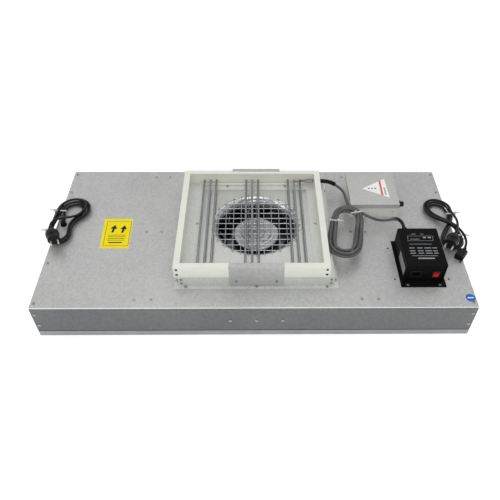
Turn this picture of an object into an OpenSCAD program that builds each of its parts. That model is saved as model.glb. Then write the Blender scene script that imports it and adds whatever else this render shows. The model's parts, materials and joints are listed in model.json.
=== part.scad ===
// Fan filter unit: a thin ceiling box with a pleated filter below, a backward-curved fan inside,
// and a raised inlet box on top that carries a white ioniser frame.
// X runs along the long side, Y from front to back, Z up. The origin is the bottom centre of the casing.

/* [Casing] */
// Width of the casing, left to right
casing_w = 1175; // [1170:1:1500]
// Depth of the casing, front to back
casing_d = 575; // [500:1:800]
// Height of the casing, filter included
casing_h = 116; // [105:1:180]
// Thickness of the sheet steel
sheet_t = 1.2; // [0.8:0.1:1.6]
// Width of the flange folded inward along the top of each wall
wall_flange = 20; // [16:1:30]
// Width of the hem folded inward along the bottom of each wall
wall_hem = 8; // [6:0.5:9]
// Distance from the inlet centre to each hat stiffener
stiffener_x = 301; // [270:1:400]

/* [Filter] */
// Height of the filter frame inside the casing
filter_h = 46; // [40:1:60]
// Height of the outer lip of the filter frame, which shows below the walls
filter_lip_h = 19; // [14:1:24]
// Width of the outer lip
filter_lip_w = 10.5; // [9.5:0.5:16]
// Thickness of the foam gasket
gasket_t = 4; // [2:0.5:8]
// Distance between two pleats of the media
pleat_pitch = 18; // [14:1:40]
// Distance between two bars of the outlet guard
guard_cell = 50; // [40:1:90]

/* [Inlet box] */
// Width of the inlet box
box_w = 418; // [400:1:440]
// Depth of the inlet box
box_d = 416; // [400:1:430]
// Height of the inlet box
box_h = 35; // [30:1:50]
// Width of the flange that is screwed to the top panel
box_foot = 12; // [10:1:20]
// Width of the flange folded inward at its top
box_lip = 54; // [40:1:60]
// Place of the inlet centre, left to right
inlet_x = 4; // [-20:1:20]
// Place of the inlet centre, front to back
inlet_y = -2; // [-10:1:10]
// Radius of the round opening
inlet_r = 127; // [122:1:130]
// Radius at the narrow end of the bell mouth
throat_r = 107; // [104:0.5:109]
// Depth of the bell mouth
throat_depth = 28; // [24:1:32]
// Distance between two wires of the inlet guard
guard_pitch = 22; // [16:1:30]
// Thickness of a guard wire
guard_wire = 2; // [1.5:0.1:3]

/* [Fan] */
// Outer radius of the impeller
impeller_r = 150; // [140:1:156]
// Radius of the impeller's inlet
impeller_inlet_r = 110; // [108:0.5:112]
// Number of blades
blade_count = 9; // [5:1:12]
// Angle that a blade sweeps back
blade_sweep = 52; // [30:1:70]
// Radius of the external rotor
rotor_r = 68.5; // [66:0.5:72]
// Radius of the shaft
shaft_r = 5; // [4:0.5:6]
// Width of the beam that carries the motor
beam_w = 170; // [150:1:200]

/* [Ioniser frame] */
// Width of the white frame
frame_w = 414; // [400:1:430]
// Depth of the white frame
frame_d = 412; // [400:1:416]
// Place of the frame's centre, left to right
frame_x = -8; // [-14:1:10]
// Place of the frame's centre, front to back
frame_y = -5; // [-8:1:2]
// Thickness of a bar
bar_t = 17; // [14:0.5:22]
// Height of a bar
bar_h = 37; // [34:1:50]
// Distance between two emitter bars
emitter_pitch = 129; // [110:1:130]
// Distance from an emitter bar to each of its ground rods
rod_offset = 18.5; // [12:0.5:25]
// Thickness of a ground rod
rod_d = 6; // [4:0.5:8]
// Height of the rods above the inlet box
rod_rise = 12; // [11:0.5:18]
// Width of a clamp plate
clamp_w = 146; // [100:1:200]

/* [Junction box] */
// Width of the junction box
junction_w = 146; // [120:1:150]
// Depth of the junction box
junction_d = 150; // [130:1:155]
// Height of the junction box
junction_h = 49; // [46:1:70]
// Left edge of the junction box
junction_x = 286; // [286:1:300]
// Front edge of the junction box
junction_y = 65; // [65:1:90]
// Diameter of the speed knob
knob_d = 20; // [16:0.5:24]

/* [High-voltage supply] */
// Width of the supply's case
supply_w = 110; // [100:1:112]
// Depth of the supply's case
supply_d = 144; // [130:1:144]
// Height of the supply's case
supply_h = 62; // [60:1:80]
// Left edge of the case
supply_x = 402; // [400:1:404]
// Front edge of the case
supply_y = -196; // [-200:1:-190]
// Distance between the spare mounting holes, left to right
spare_w = 148; // [140:1:156]
// Distance between the spare mounting holes, front to back
spare_d = 119; // [110:1:130]

/* [Leads] */
// Thickness of a mains lead
lead_d = 7; // [6:0.5:7.5]
// Thickness of the high-voltage cable
cable_d = 8; // [7:0.5:8.5]

/* [Hidden] */
$fn = 48;

eps = 0.01;
seat = 0.3; // Gap between a soft or loose piece and what it lies on
steel = [0.72, 0.74, 0.75];
bright = [0.86, 0.87, 0.88];
black = [0.1, 0.1, 0.1];
white = [0.93, 0.93, 0.9];

// Levels
top = casing_h;
panel_z = top - sheet_t;
wall_z = filter_lip_h + gasket_t;
box_top = top + box_h;
plate_top = box_top - sheet_t;
plate_z = plate_top - sheet_t;
throat_z = plate_z - throat_depth;

// Fasteners
rivet_d = 4;
screw_d = 4;
fit = 0.1; // Clearance between a fastener and its hole, on the radius

// Casing fastener places
corner_rivet_z = [wall_z + 22, panel_z - 25];
side_screw_y = [for (share = [-0.47, -0.22, 0.05, 0.315, 0.47]) share * casing_d];
edge_inset = 9;
side_screw_inset = 10;
stiffener_row = 22; // Half the distance between a stiffener's two rows of rivets
stiffener_len = casing_d - 2 * wall_flange - 2;
stiffener_rivet_y = [for (k = [-1:1]) k * (stiffener_len / 2 - 8)];

// Inlet box places
box_screw_reach = 190;
plate_lap = 32;
plate_w = box_w - 2 * box_lip + 2 * plate_lap;
plate_d = box_d - 2 * box_lip + 2 * plate_lap;
plate_rivet_in = 16; // From the lip's inner edge to the rivets

// Fan levels
beam_t = 2;
beam_top = filter_h + 8;
base_t = 4;
hub_z = beam_top + 8; // Underside of the impeller's back plate
impeller_t = 1.5;
rotor_top = top;
beam_rivet_x = [-70, 0, 70];
panel_hole_r = impeller_inlet_r + 13;
shroud_edge_z = panel_z - 13;
shroud_top = throat_z + 5;
bearing_r = 13;
bearing_h = 8;
fan_screw_r = rotor_r + 7.5;

// Ioniser frame levels
bar_z = box_top;
rod_z = bar_z + rod_rise;
rod_sink = 8;
frame_in_w = frame_w - 2 * bar_t;
frame_in_d = frame_d - 2 * bar_t;
bar_screw_z = [bar_z + bar_h / 4, bar_z + bar_h * 3 / 4];
bar_screw_x = frame_w / 2 - bar_t / 2;
clamp_t = 1.5;
front_hook = 16; // How far the front clamp reaches over its bar
clamp_screw_x = 54;
clamp_screw_z = top + 20;
sleeve_d = 13;
frame_right = frame_x + frame_w / 2;

// Junction box places
switch_y = junction_y + 82;
switch_z = top + 31;
switch_w = 21;
switch_h = 15;
knob_y = junction_y + 21;
knob_z = top + 34;
junction_right = junction_x + junction_w;
lid_lip = 14;
rocker_tilt = 8;
pot_x = junction_right - 2 * sheet_t - 0.2;
pot_len = 12;

// High-voltage supply places
base_z = top;
supply_z = top + 1.5;
supply_top = top + supply_h;
supply_t = 1.5;
supply_right = supply_x + supply_w;
front_inset = 3;
front_y = supply_y + front_inset;
socket_x = supply_x + 31;
socket_z = top + 27;
socket_w = 27;
socket_h = 20;
rocker_x = supply_x + 86;
rocker_z = top + 26;
rocker_w = 16;
rocker_h = 20;
spare_x = supply_x + 54.5;
spare_y = supply_y + 67.5;

// Routes of the cables, point by point, with heights counted from the top panel
coil_lift = 2.4; // A tie passes under each coil
band_w = 18; // Width of a hank's bundle of turns
band_h = 14; // Its height: two layers
crossing_h = 28; // Height where one bundle passes over the other
// Middle line of each hank in the order the lead runs round it, clockwise where it is widest
left_ring = [[-590, 38], [-586, 66], [-583, 101], [-569, 119], [-547, 126], [-525, 119], [-511, 101],
             [-510, 78], [-523, 59], [-541, 39], [-546, 18], [-543, -4], [-539, -23], [-543, -38],
             [-556, -49], [-572, -51], [-588, -43], [-597, -26], [-595, 8]];
// The third number lifts the right lead where it passes over itself
right_ring = [[558, 40, 6], [540, 62, 0], [528, 83, 0], [526, 101, 0], [535, 116, 0], [552, 124, 0],
              [573, 119, 0], [588, 100, 0], [593, 75, 0], [590, 50, 0], [581, 25, 0], [568, 4, 0],
              [556, -14, 0], [545, -37, 0], [545, -53, 0], [554, -68, 0], [569, -75, 0], [585, -73, 0],
              [598, -62, 0], [602, -46, 0], [600, -26, 0], [594, -6, 7], [579, 15, 14]];
hv_at = [260, -40];
hv_turn = 79.4;
hv_ring = [24.5, 48.5, 59, 16]; // Inner radius, outer radius, half the straight length, height
boot_at = [-568, 31];
left_plug_at = [-579.4, -34, 35.2];
left_plug_turn = -66.4;
right_plug_at = [569, -55.5, 35.2];
right_plug_turn = -121.5;
connector_at = [592, -91, 9.3];
connector_turn = -126.9;
gland_at = [425, -52, 50];
cable_exit = [199, 176, 50]; // Where the cable leaves the right bar
frame_sleeve = [cable_exit, [212, 176.3, 50], [226, 177, 47.5], [239, 177.5, 42.5], [250, 176.5, 36.5]];
upper_cable = [[250, 176.5, 36.5], [260.5, 172.5, 31], [269.5, 165.5, 27], [275.5, 156, 25.5],
               [277.5, 144, 26], [278, 128, 28], [278, 110, 31], [278, 92, 35], [278.5, 76, 38.5],
               [282, 60, 40.5], [289, 45, 41.3]];
lower_cable = [[299, 40, 50], [312, 31.5, 47.5], [328, 25.5, 41.5], [345, 22.5, 33.5], [362, 21.5, 27],
               [378, 21, 25], [392, 21, 27.5], [405, 20, 32]];
supply_sleeve = [[405, 20, 32], [414, 15, 38], [420, 4, 44], [423.5, -10, 48], [425, -22, 49.5],
                 [425, -39.8, 50]];
left_tail = [[-568, 43, 11], [-569, 50, 10.6], [-571, 58, 9.8], [-574, 68, 8.6], [-577, 80, 7.5]];
left_loop = [[-512, 82, 19.6], [-516, 65, 20], [-526, 51, 20.6], [-541, 42, 22], [-558, 36, 25],
             [-573, 30, 28], [-585, 20, 31], [-591, 6, 34], [-590.5, -5, 35], [-587.8, -14.7, 35.2]];
right_loop = [[600, -80, 9.3], [605, -72, 12], [608.5, -61, 16], [609, -49, 19.6], [607, -35, 21],
              [602, -21, 22], [595, -7, 24], [588, 5, 26]];
right_tail = [[591, 84, 19.8], [593, 66, 20.4], [594.5, 48, 24], [595, 32, 29], [594.5, 16, 33],
              [593, 2, 35], [589.5, -14, 35.3], [585, -27, 35.2], [580, -37.6, 35.2]];

// Small shared shapes

function unit(v) = v / norm(v);
function heading(p, i) = unit(p[min(i + 1, len(p) - 1)] - p[max(i - 1, 0)]);
function across(t) = unit(cross(t, abs(t[2]) > 0.98 ? [0, 1, 0] : [0, 0, 1]));

// A round tube swept along a list of points
module tube_along(points, d, sides = 8) {
    last = len(points) - 1;
    rings = [for (i = [0:last])
        let (t = heading(points, i), s = across(t), u = cross(s, t))
        for (k = [0:sides - 1])
            points[i] + d / 2 * (cos(360 * k / sides) * s + sin(360 * k / sides) * u)];
    start = [for (k = [1:sides - 2]) [0, k + 1, k]];
    end = [for (k = [1:sides - 2]) [last * sides, last * sides + k, last * sides + k + 1]];
    skin = [for (i = [0:last - 1], k = [0:sides - 1])
        let (a = i * sides + k, b = i * sides + (k + 1) % sides)
        each [[a, b, a + sides], [b, b + sides, a + sides]]];
    polyhedron(points = rings, faces = concat(start, end, skin));
}

module plate(low, high) {
    translate(low) cube(high - low);
}

// A dome-headed rivet pointing up, its head resting on z = 0
module rivet(grip = 2 * sheet_t) {
    cylinder(h = 0.8, d = rivet_d * 2);
    translate([0, 0, 0.8 - eps]) cylinder(h = 0.9, d1 = rivet_d * 1.9, d2 = rivet_d * 1.2);
    translate([0, 0, -grip - 1.5]) cylinder(h = grip + 1.5 + eps, d = rivet_d);
}

// A pan-head screw pointing down from z = 0
module pan_screw(length = 10, d = screw_d) {
    difference() {
        union() {
            cylinder(h = d * 0.35, d = d * 2);
            translate([0, 0, d * 0.35 - eps]) cylinder(h = d * 0.2, d1 = d * 1.9, d2 = d * 1.3);
        }
        for (turn = [0, 90]) rotate([0, 0, turn])
            translate([-d * 0.55, -d * 0.1, d * 0.3]) cube([d * 1.1, d * 0.2, d]);
    }
    translate([0, 0, -length]) cylinder(h = length + eps, d = d);
}

module hole(h = 20, d = screw_d) {
    translate([0, 0, -h / 2]) cylinder(h = h, r = d / 2 + fit);
}

// Casing

module at_side_screws() {
    for (side = [-1, 1], y = side_screw_y) if (side > 0 || y != side_screw_y[2])
        translate([side * (casing_w / 2 - side_screw_inset), y, top]) children();
}

module at_stiffener_rivets() {
    for (side = [-1, 1], row = [-1, 1], y = stiffener_rivet_y)
        translate([inlet_x + side * stiffener_x + row * stiffener_row, y, top]) children();
}

module at_box_screws() {
    for (side = [-1, 1], k = [-1:1]) {
        translate([inlet_x + k * box_screw_reach, inlet_y + side * (box_d / 2 + box_foot / 2), top])
            children();
        translate([inlet_x + side * (box_w / 2 + box_foot / 2), inlet_y + k * box_screw_reach, top])
            children();
    }
}

module at_supply_holes() {
    for (sx = [-1, 1], sy = [-1, 1])
        translate([spare_x + sx * spare_w / 2, spare_y + sy * spare_d / 2, top]) children();
}

module at_supply_screws() {
    for (sx = [-1, 1], y = [supply_y - 14, supply_y + supply_d + 6])
        translate([supply_x + supply_w / 2 + sx * (supply_w / 2 - 12), y, supply_z]) children();
}

module at_junction_screws() {
    for (sx = [-1, 1], sy = [-1, 1])
        translate([junction_x + junction_w / 2 + sx * (junction_w / 2 - 14),
                   junction_y + junction_d / 2 + sy * (junction_d / 2 - 14), top + sheet_t]) children();
}

module top_panel() {
    color(steel) difference() {
        plate([-casing_w / 2, -casing_d / 2, panel_z], [casing_w / 2, casing_d / 2, top]);
        translate([inlet_x, inlet_y, panel_z - 1]) cylinder(h = sheet_t + 2, r = panel_hole_r, $fn = 96);
        at_side_screws() hole();
        at_stiffener_rivets() hole();
        at_box_screws() hole();
        at_supply_screws() hole();
        at_junction_screws() hole();
        at_supply_holes() hole(d = 5.3);
        translate([boot_at[0], boot_at[1], top]) hole(d = 10);
    }
}

// A wall's section: u runs inward from the outer face, the second axis is height
module wall_section() {
    translate([0, wall_z]) square([sheet_t, panel_z - wall_z]);
    translate([0, panel_z - sheet_t]) square([wall_flange, sheet_t]);
    translate([0, wall_z]) square([wall_hem, sheet_t]);
}

module beam_rivet_places() {
    for (x = beam_rivet_x) translate([inlet_x + x, -casing_d / 2, beam_top + 8]) rotate([90, 0, 0])
        children();
}

module corner_rivet_places() {
    for (side = [-1, 1], z = corner_rivet_z)
        translate([side * (casing_w / 2 - edge_inset), -casing_d / 2, z]) rotate([90, 0, 0]) children();
}

module long_wall() {
    difference() {
        translate([0, -casing_d / 2, 0]) rotate([90, 0, 90])
            linear_extrude(casing_w, center = true) wall_section();
        for (side = [-1, 1]) translate([side * casing_w / 2, 0, 0])
            plate([-sheet_t, -casing_d / 2 + sheet_t, 0], [sheet_t, 0, top]);
        beam_rivet_places() hole();
        corner_rivet_places() hole();
        for (side = [-1, 1], y = side_screw_y)
            translate([side * (casing_w / 2 - side_screw_inset), y, panel_z]) hole();
    }
}

module short_wall() {
    tab = 17;
    difference() {
        union() {
            plate([-casing_w / 2, -casing_d / 2 + sheet_t, wall_z],
                  [-casing_w / 2 + sheet_t, casing_d / 2 - sheet_t, panel_z]);
            plate([-casing_w / 2, -casing_d / 2 + wall_flange, panel_z - sheet_t],
                  [-casing_w / 2 + wall_flange, casing_d / 2 - wall_flange, panel_z]);
            plate([-casing_w / 2, -casing_d / 2 + wall_hem, wall_z],
                  [-casing_w / 2 + wall_hem, casing_d / 2 - wall_hem, wall_z + sheet_t]);
            for (end = [0, 1]) mirror([0, end, 0])
                plate([-casing_w / 2, -casing_d / 2 + sheet_t, wall_z + 2 * sheet_t],
                      [-casing_w / 2 + tab, -casing_d / 2 + 2 * sheet_t, panel_z - 2 * sheet_t]);
        }
        for (end = [0, 1]) mirror([0, end, 0]) corner_rivet_places() hole();
        for (y = side_screw_y) translate([-casing_w / 2 + side_screw_inset, y, panel_z])
            hole(d = y == side_screw_y[2] ? 10 : screw_d);
    }
}

module front_wall() { color(steel) long_wall(); }

module back_wall() { color(steel) mirror([0, 1, 0]) long_wall(); }

module left_wall() {
    color(steel) difference() {
        short_wall();
        translate([boot_at[0], boot_at[1], top]) hole(d = 10.4);
    }
}

module right_wall() { color(steel) mirror([1, 0, 0]) short_wall(); }

// Hat channels riveted under the top panel, one on each side of the fan
module panel_stiffeners() {
    hat_h = 16;
    crown = 2 * stiffener_row - 18;
    color(steel) for (side = [-1, 1]) difference() {
        translate([inlet_x + side * stiffener_x, 0, panel_z]) rotate([90, 0, 0])
            linear_extrude(stiffener_len, center = true) {
                for (s = [-1, 1]) {
                    translate([s * stiffener_row - 8, -sheet_t]) square([16, sheet_t]);
                    translate([s * crown / 2 - sheet_t / 2, -hat_h]) square([sheet_t, hat_h]);
                }
                translate([-crown / 2, -hat_h]) square([crown, sheet_t]);
                for (s = [-1, 1]) translate([min(s * crown / 2, s * (stiffener_row - 8)), -sheet_t])
                    square([abs(stiffener_row - 8 - crown / 2) + eps, sheet_t]);
            }
        at_stiffener_rivets() hole();
    }
}

// Pan-head screws: round the panel, the inlet box, both boxes on the panel and the clamp plates
module casing_screws() {
    color(bright) {
        at_side_screws() pan_screw();
        at_box_screws() translate([0, 0, sheet_t]) pan_screw();
        at_supply_screws() pan_screw();
        at_junction_screws() pan_screw();
        at_clamp_screws() translate([0, front_clamp_y, 0]) rotate([90, 0, 0]) pan_screw(length = 9);
        at_clamp_screws() translate([0, back_clamp_y, 0]) rotate([-90, 0, 0]) pan_screw(length = 9);
    }
}

// Dome rivets: stiffeners, wall corners, motor beam, inlet box corners and inlet plate
module casing_rivets() {
    color(bright) {
        at_stiffener_rivets() rivet();
        at_plate_rivets() rivet();
        for (end = [0, 1]) mirror([0, end, 0]) {
            beam_rivet_places() rivet(sheet_t + beam_t);
            corner_rivet_places() rivet();
        }
        corner_box_rivets() rivet();
        translate([0, 2 * inlet_y, 0]) mirror([0, 1, 0]) corner_box_rivets() rivet();
    }
}

// Filter

// Section of the frame extrusion: a grooved hollow lip outside and an upright inside
module rail_section() {
    wall = 1.4;
    difference() {
        union() {
            square([filter_lip_w, filter_lip_h]);
            translate([filter_lip_w - wall, 0]) square([wall, filter_h]);
            translate([filter_lip_w - 3, filter_h - wall]) square([3, wall]);
        }
        translate([wall, wall]) square([filter_lip_w - 2 * wall, filter_lip_h - 2 * wall]);
        for (z = [7, 15]) translate([-eps, z]) square([0.6, 1]);
    }
}

// One rail along X at the front, mitred at both ends
module mitred_rail(width, depth) {
    reach = filter_lip_w + 5;
    intersection() {
        translate([0, -depth / 2, 0]) rotate([90, 0, 90])
            linear_extrude(width, center = true) rail_section();
        translate([0, 0, -1]) linear_extrude(filter_h + 2) polygon([
            [-width / 2, -depth / 2], [width / 2, -depth / 2],
            [width / 2 - reach, -depth / 2 + reach], [-width / 2 + reach, -depth / 2 + reach]]);
    }
}

// Four rails joined at their mitres
module filter_frame() {
    color(bright) {
        for (end = [0, 1]) mirror([0, end, 0]) mitred_rail(casing_w, casing_d);
        for (turn = [-90, 90]) rotate([0, 0, turn]) mitred_rail(casing_d, casing_w);
    }
}

// One sheet folded into pleats that run front to back
module filter_media() {
    span = casing_w - 2 * filter_lip_w - 2 * seat;
    count = round(span / pleat_pitch);
    step = span / count;
    low = 3;
    high = filter_h - 9;
    web = 6;
    folds = [for (i = [0:2 * count]) [-span / 2 + i * step / 2, i % 2 == 0 ? low : high]];
    color(white) rotate([90, 0, 0])
        linear_extrude(casing_d - 2 * filter_lip_w - 2 * seat, center = true)
            polygon(concat(folds, [for (i = [2 * count:-1:0]) folds[i] + [0, web]]));
}

// Flat guard under the media, cut as one sheet of square cells
module outlet_guard() {
    w = casing_w - 2 * filter_lip_w - 2 * seat;
    d = casing_d - 2 * filter_lip_w - 2 * seat;
    rib = 3;
    nx = floor((w - rib) / guard_cell);
    ny = floor((d - rib) / guard_cell);
    cell_w = (w - rib) / nx;
    cell_d = (d - rib) / ny;
    color(white) translate([0, 0, 1.4]) linear_extrude(1.2) difference() {
        square([w, d], center = true);
        for (i = [0:nx - 1], j = [0:ny - 1])
            translate([-w / 2 + rib + i * cell_w, -d / 2 + rib + j * cell_d])
                square([cell_w - rib, cell_d - rib]);
    }
}

module filter_gasket() {
    inset = 0.8;
    width = wall_hem - inset;
    color("dimgray") translate([0, 0, filter_lip_h]) linear_extrude(gasket_t) difference() {
        square([casing_w - 2 * inset, casing_d - 2 * inset], center = true);
        square([casing_w - 2 * inset - 2 * width, casing_d - 2 * inset - 2 * width], center = true);
    }
}

// Inlet box

module corner_box_rivets() {
    for (side = [-1, 1], z = [top + 10, top + 24])
        translate([inlet_x + side * (box_w / 2 - 8), inlet_y - box_d / 2, z]) rotate([90, 0, 0])
            children();
}

module at_plate_rivets() {
    for (side = [-1, 1]) {
        translate([inlet_x + side * (box_w / 2 - box_lip + plate_rivet_in), inlet_y, box_top]) children();
        for (x = [-89, 89])
            translate([inlet_x + x, inlet_y + side * (box_d / 2 - box_lip + plate_rivet_in), box_top])
                children();
    }
}

module at_clamp_screws() {
    for (side = [-1, 1]) translate([inlet_x + side * clamp_screw_x, 0, clamp_screw_z]) children();
}

// A long Z-shaped wall, full width, with its foot outside and its lip inside
module box_long_wall() {
    y = inlet_y - box_d / 2;
    difference() {
        union() {
            plate([inlet_x - box_w / 2 - box_foot, y - box_foot, top],
                  [inlet_x + box_w / 2 + box_foot, y + sheet_t, top + sheet_t]);
            plate([inlet_x - box_w / 2, y, top], [inlet_x + box_w / 2, y + sheet_t, box_top]);
            plate([inlet_x - box_w / 2, y, box_top - sheet_t],
                [inlet_x + box_w / 2, y + box_lip, box_top]);
        }
        at_box_screws() hole();
        at_plate_rivets() hole();
        corner_box_rivets() hole();
        at_clamp_screws() translate([0, y, 0]) rotate([90, 0, 0]) hole();
    }
}

// A short wall between the two long ones, with corner tabs behind them
module box_short_wall() {
    x = inlet_x - box_w / 2;
    y0 = inlet_y - box_d / 2 + sheet_t;
    y1 = inlet_y + box_d / 2 - sheet_t;
    tab = 15;
    difference() {
        union() {
            plate([x - box_foot, y0, top], [x + sheet_t, y1, top + sheet_t]);
            plate([x, y0, top], [x + sheet_t, y1, box_top]);
            plate([x, inlet_y - box_d / 2 + box_lip, box_top - sheet_t],
                  [x + box_lip, inlet_y + box_d / 2 - box_lip, box_top]);
            for (y = [y0, y1 - sheet_t])
                plate([x, y, top + 2 * sheet_t], [x + tab, y + sheet_t, box_top - 2 * sheet_t]);
        }
        at_box_screws() hole();
        at_plate_rivets() hole();
        corner_box_rivets() hole();
        translate([0, 2 * inlet_y, 0]) mirror([0, 1, 0]) corner_box_rivets() hole();
    }
}

// Four folded walls joined at the corners
module inlet_box() {
    color(steel) {
        box_long_wall();
        translate([0, 2 * inlet_y, 0]) mirror([0, 1, 0]) box_long_wall();
        box_short_wall();
        translate([2 * inlet_x, 0, 0]) mirror([1, 0, 0]) box_short_wall();
    }
}

module inlet_plate() {
    color(steel) difference() {
        plate([inlet_x - plate_w / 2, inlet_y - plate_d / 2, plate_z],
              [inlet_x + plate_w / 2, inlet_y + plate_d / 2, plate_top]);
        translate([inlet_x, inlet_y, plate_z - 1]) cylinder(h = sheet_t + 2, r = inlet_r, $fn = 96);
        at_plate_rivets() hole();
    }
}

// Spun bell mouth: a quarter ellipse from the opening down to the throat, with a flange under the plate
module inlet_ring() {
    wall = 1;
    curve = [for (a = [0:10:90])
        [throat_r + (inlet_r - throat_r) * (1 - sin(a)), -throat_depth + throat_depth * cos(a)]];
    under = [for (a = [90:-10:0])
        [throat_r + wall + (inlet_r - throat_r) * (1 - sin(a)), -throat_depth + (throat_depth - wall)
            * cos(a)]];
    color(bright) translate([inlet_x, inlet_y, plate_z])
        rotate_extrude($fn = 96) polygon(concat([[inlet_r + 12, 0]], curve, under,
            [[inlet_r + 12, -wall]]));
}

// Welded wire grid, trimmed to the opening: one layer along X and one along Y
module inlet_guard() {
    r = guard_wire / 2;
    reach = inlet_r + 4;
    count = floor((inlet_r - 12) / guard_pitch);
    lower = plate_top + 0.2 + r;
    touch = 0.02; // Left between crossing wires, each of which is a solid of its own
    color(bright) translate([inlet_x, inlet_y, lower]) for (k = [-count:count]) {
        half = sqrt(pow(reach, 2) - pow(k * guard_pitch, 2));
        translate([-half, k * guard_pitch, 0]) rotate([0, 90, 0]) cylinder(h = 2 * half, r = r, $fn = 8);
        translate([k * guard_pitch, half, 2 * r + touch]) rotate([90, 0, 0])
            cylinder(h = 2 * half, r = r, $fn = 8);
    }
}

// Fan

module at_fan() { translate([inlet_x, inlet_y, 0]) children(); }

// Inner surface of the shroud, from its inlet lip down and out to the rim
function shroud_curve(t) = [for (a = [0:10:90])
    [impeller_inlet_r + t + (impeller_r - impeller_inlet_r - t) * (1 - cos(a)),
     shroud_edge_z + t + (shroud_top - 6 - shroud_edge_z - t) * (1 - sin(a))]];

function blade_angle(s) = -blade_sweep * s * (1.25 - 0.25 * s);
function blade_point(s) =
    let (r = rotor_r + 15.5 + (impeller_r - rotor_r - 17) * s, a = blade_angle(s)) r * [cos(a), sin(a)];
function blade_side(s, w) =
    let (d = blade_point(s + 0.02) - blade_point(s - 0.02)) blade_point(s) + w * [-d[1], d[0]] / norm(d);

module blade_outline() {
    t = 1.2;
    steps = [0:0.1:1.01];
    polygon(concat([for (s = steps) blade_side(s, t)], [for (s = steps) blade_side(1 - s, -t)]));
}

// Back plate, backward-curved blades and shroud, welded into one
module impeller() {
    lip_t = 1.5;
    inner = shroud_curve(0);
    outer = shroud_curve(lip_t);
    mid = shroud_curve(lip_t / 2);
    color(bright) at_fan() {
        difference() {
            translate([0, 0, hub_z]) cylinder(h = impeller_t, r = impeller_r, $fn = 96);
            translate([0, 0, hub_z - 1]) cylinder(h = impeller_t + 2, r = rotor_r + 0.4);
            for (k = [0:5]) rotate([0, 0, 60 * k + 20]) translate([fan_screw_r, 0, hub_z]) hole();
        }
        rotate_extrude($fn = 96) polygon(concat([[impeller_inlet_r, shroud_top]], inner,
            [for (i = [len(outer) - 1:-1:0]) outer[i]], [[impeller_inlet_r + lip_t, shroud_top]]));
        intersection() {
            translate([0, 0, hub_z + impeller_t / 2]) linear_extrude(shroud_top - hub_z)
                for (k = [0:blade_count - 1]) rotate([0, 0, 360 / blade_count * k]) blade_outline();
            rotate_extrude($fn = 96) polygon(concat(
                [[rotor_r + 12, hub_z], [impeller_r - eps, hub_z],
                    [impeller_r - eps, mid[len(mid) - 1][1]]],
                [for (i = [len(mid) - 2:-1:1]) mid[i]],
                [[impeller_inlet_r + lip_t / 2, shroud_top - 8], [rotor_r + 26, shroud_top - 14]]));
        }
    }
}

// The outer rotor: a deep-drawn can with a raised centre disc, a foot flange and a shaft boss
module rotor_can() {
    wall = 4;
    edge = 6;
    color(bright) at_fan() difference() {
        rotate_extrude($fn = 96) polygon(concat(
            [[rotor_r + 13.5, hub_z - impeller_t], [rotor_r + 13.5, hub_z], [rotor_r, hub_z]],
            [for (a = [0:15:90]) [rotor_r - edge + edge * cos(a), rotor_top - 2 - edge + edge * sin(a)]],
            [[44, rotor_top - 2], [42.5, rotor_top], [9, rotor_top], [8, rotor_top - 2],
                [shaft_r, rotor_top - 2],
             [shaft_r, rotor_top - 13], [14, rotor_top - 13], [14, rotor_top - 6],
             [rotor_r - wall, rotor_top - 6], [rotor_r - wall, hub_z - impeller_t]]));
        for (k = [0:5]) rotate([0, 0, 60 * k + 20]) translate([fan_screw_r, 0, hub_z]) hole();
    }
}

module rotor_magnets() {
    color("dimgray") at_fan() translate([0, 0, hub_z + 7]) difference() {
        cylinder(h = 30, r = rotor_r - 4);
        translate([0, 0, -1]) cylinder(h = 32, r = 57.5);
    }
}

module motor_shaft() {
    color(bright) at_fan() translate([0, 0, beam_top - 1])
        cylinder(h = rotor_top - 3 - beam_top, r = shaft_r);
}

module impeller_screws() {
    color(bright) at_fan() for (k = [0:5]) rotate([0, 0, 60 * k + 20])
        translate([fan_screw_r, 0, hub_z + impeller_t]) pan_screw(length = 5);
}

stator_z = hub_z + 9;
stator_h = rotor_top - stator_z - 19;
module stator_slots(gap) {
    for (k = [0:11]) rotate([0, 0, 30 * k])
        polygon([[30 + gap, -5 + gap], [30 + gap, 5 - gap], [51 - gap, 9.5 - gap],
            [51 - gap, -9.5 + gap]]);
}

// Laminated core with twelve slots that open at the air gap
module stator_core() {
    color("silver") at_fan() translate([0, 0, stator_z]) linear_extrude(stator_h) difference() {
        circle(r = 56.5);
        circle(r = bearing_r + 4 + 0.05);
        stator_slots(0);
        for (k = [0:11]) rotate([0, 0, 30 * k]) translate([50, -1.5]) square([8, 3]);
    }
}

// Copper coils: they fill the slots and turn over at both ends of the core
module stator_windings() {
    color("peru") at_fan() {
        translate([0, 0, stator_z - 5]) linear_extrude(stator_h + 10) stator_slots(0.4);
        for (z = [stator_z - 6, stator_z + stator_h + 0.2]) translate([0, 0, z]) difference() {
            cylinder(h = 5.8, r = 51);
            translate([0, 0, -1]) cylinder(h = 8, r = 29);
        }
    }
}

// Motor foot and the tube that holds both bearings
module motor_base() {
    color("silver") at_fan() difference() {
        union() {
            translate([0, 0, beam_top]) cylinder(h = base_t, r = 60);
            translate([0, 0, beam_top]) cylinder(h = rotor_top - 17 - beam_top, r = bearing_r + 4);
        }
        translate([0, 0, beam_top + 3]) cylinder(h = rotor_top, r = bearing_r);
        translate([0, 0, beam_top - 1]) cylinder(h = 10, r = 9);
        for (k = [0:3]) rotate([0, 0, 90 * k + 45]) translate([46, 0, beam_top]) hole(d = 5);
    }
}

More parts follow.
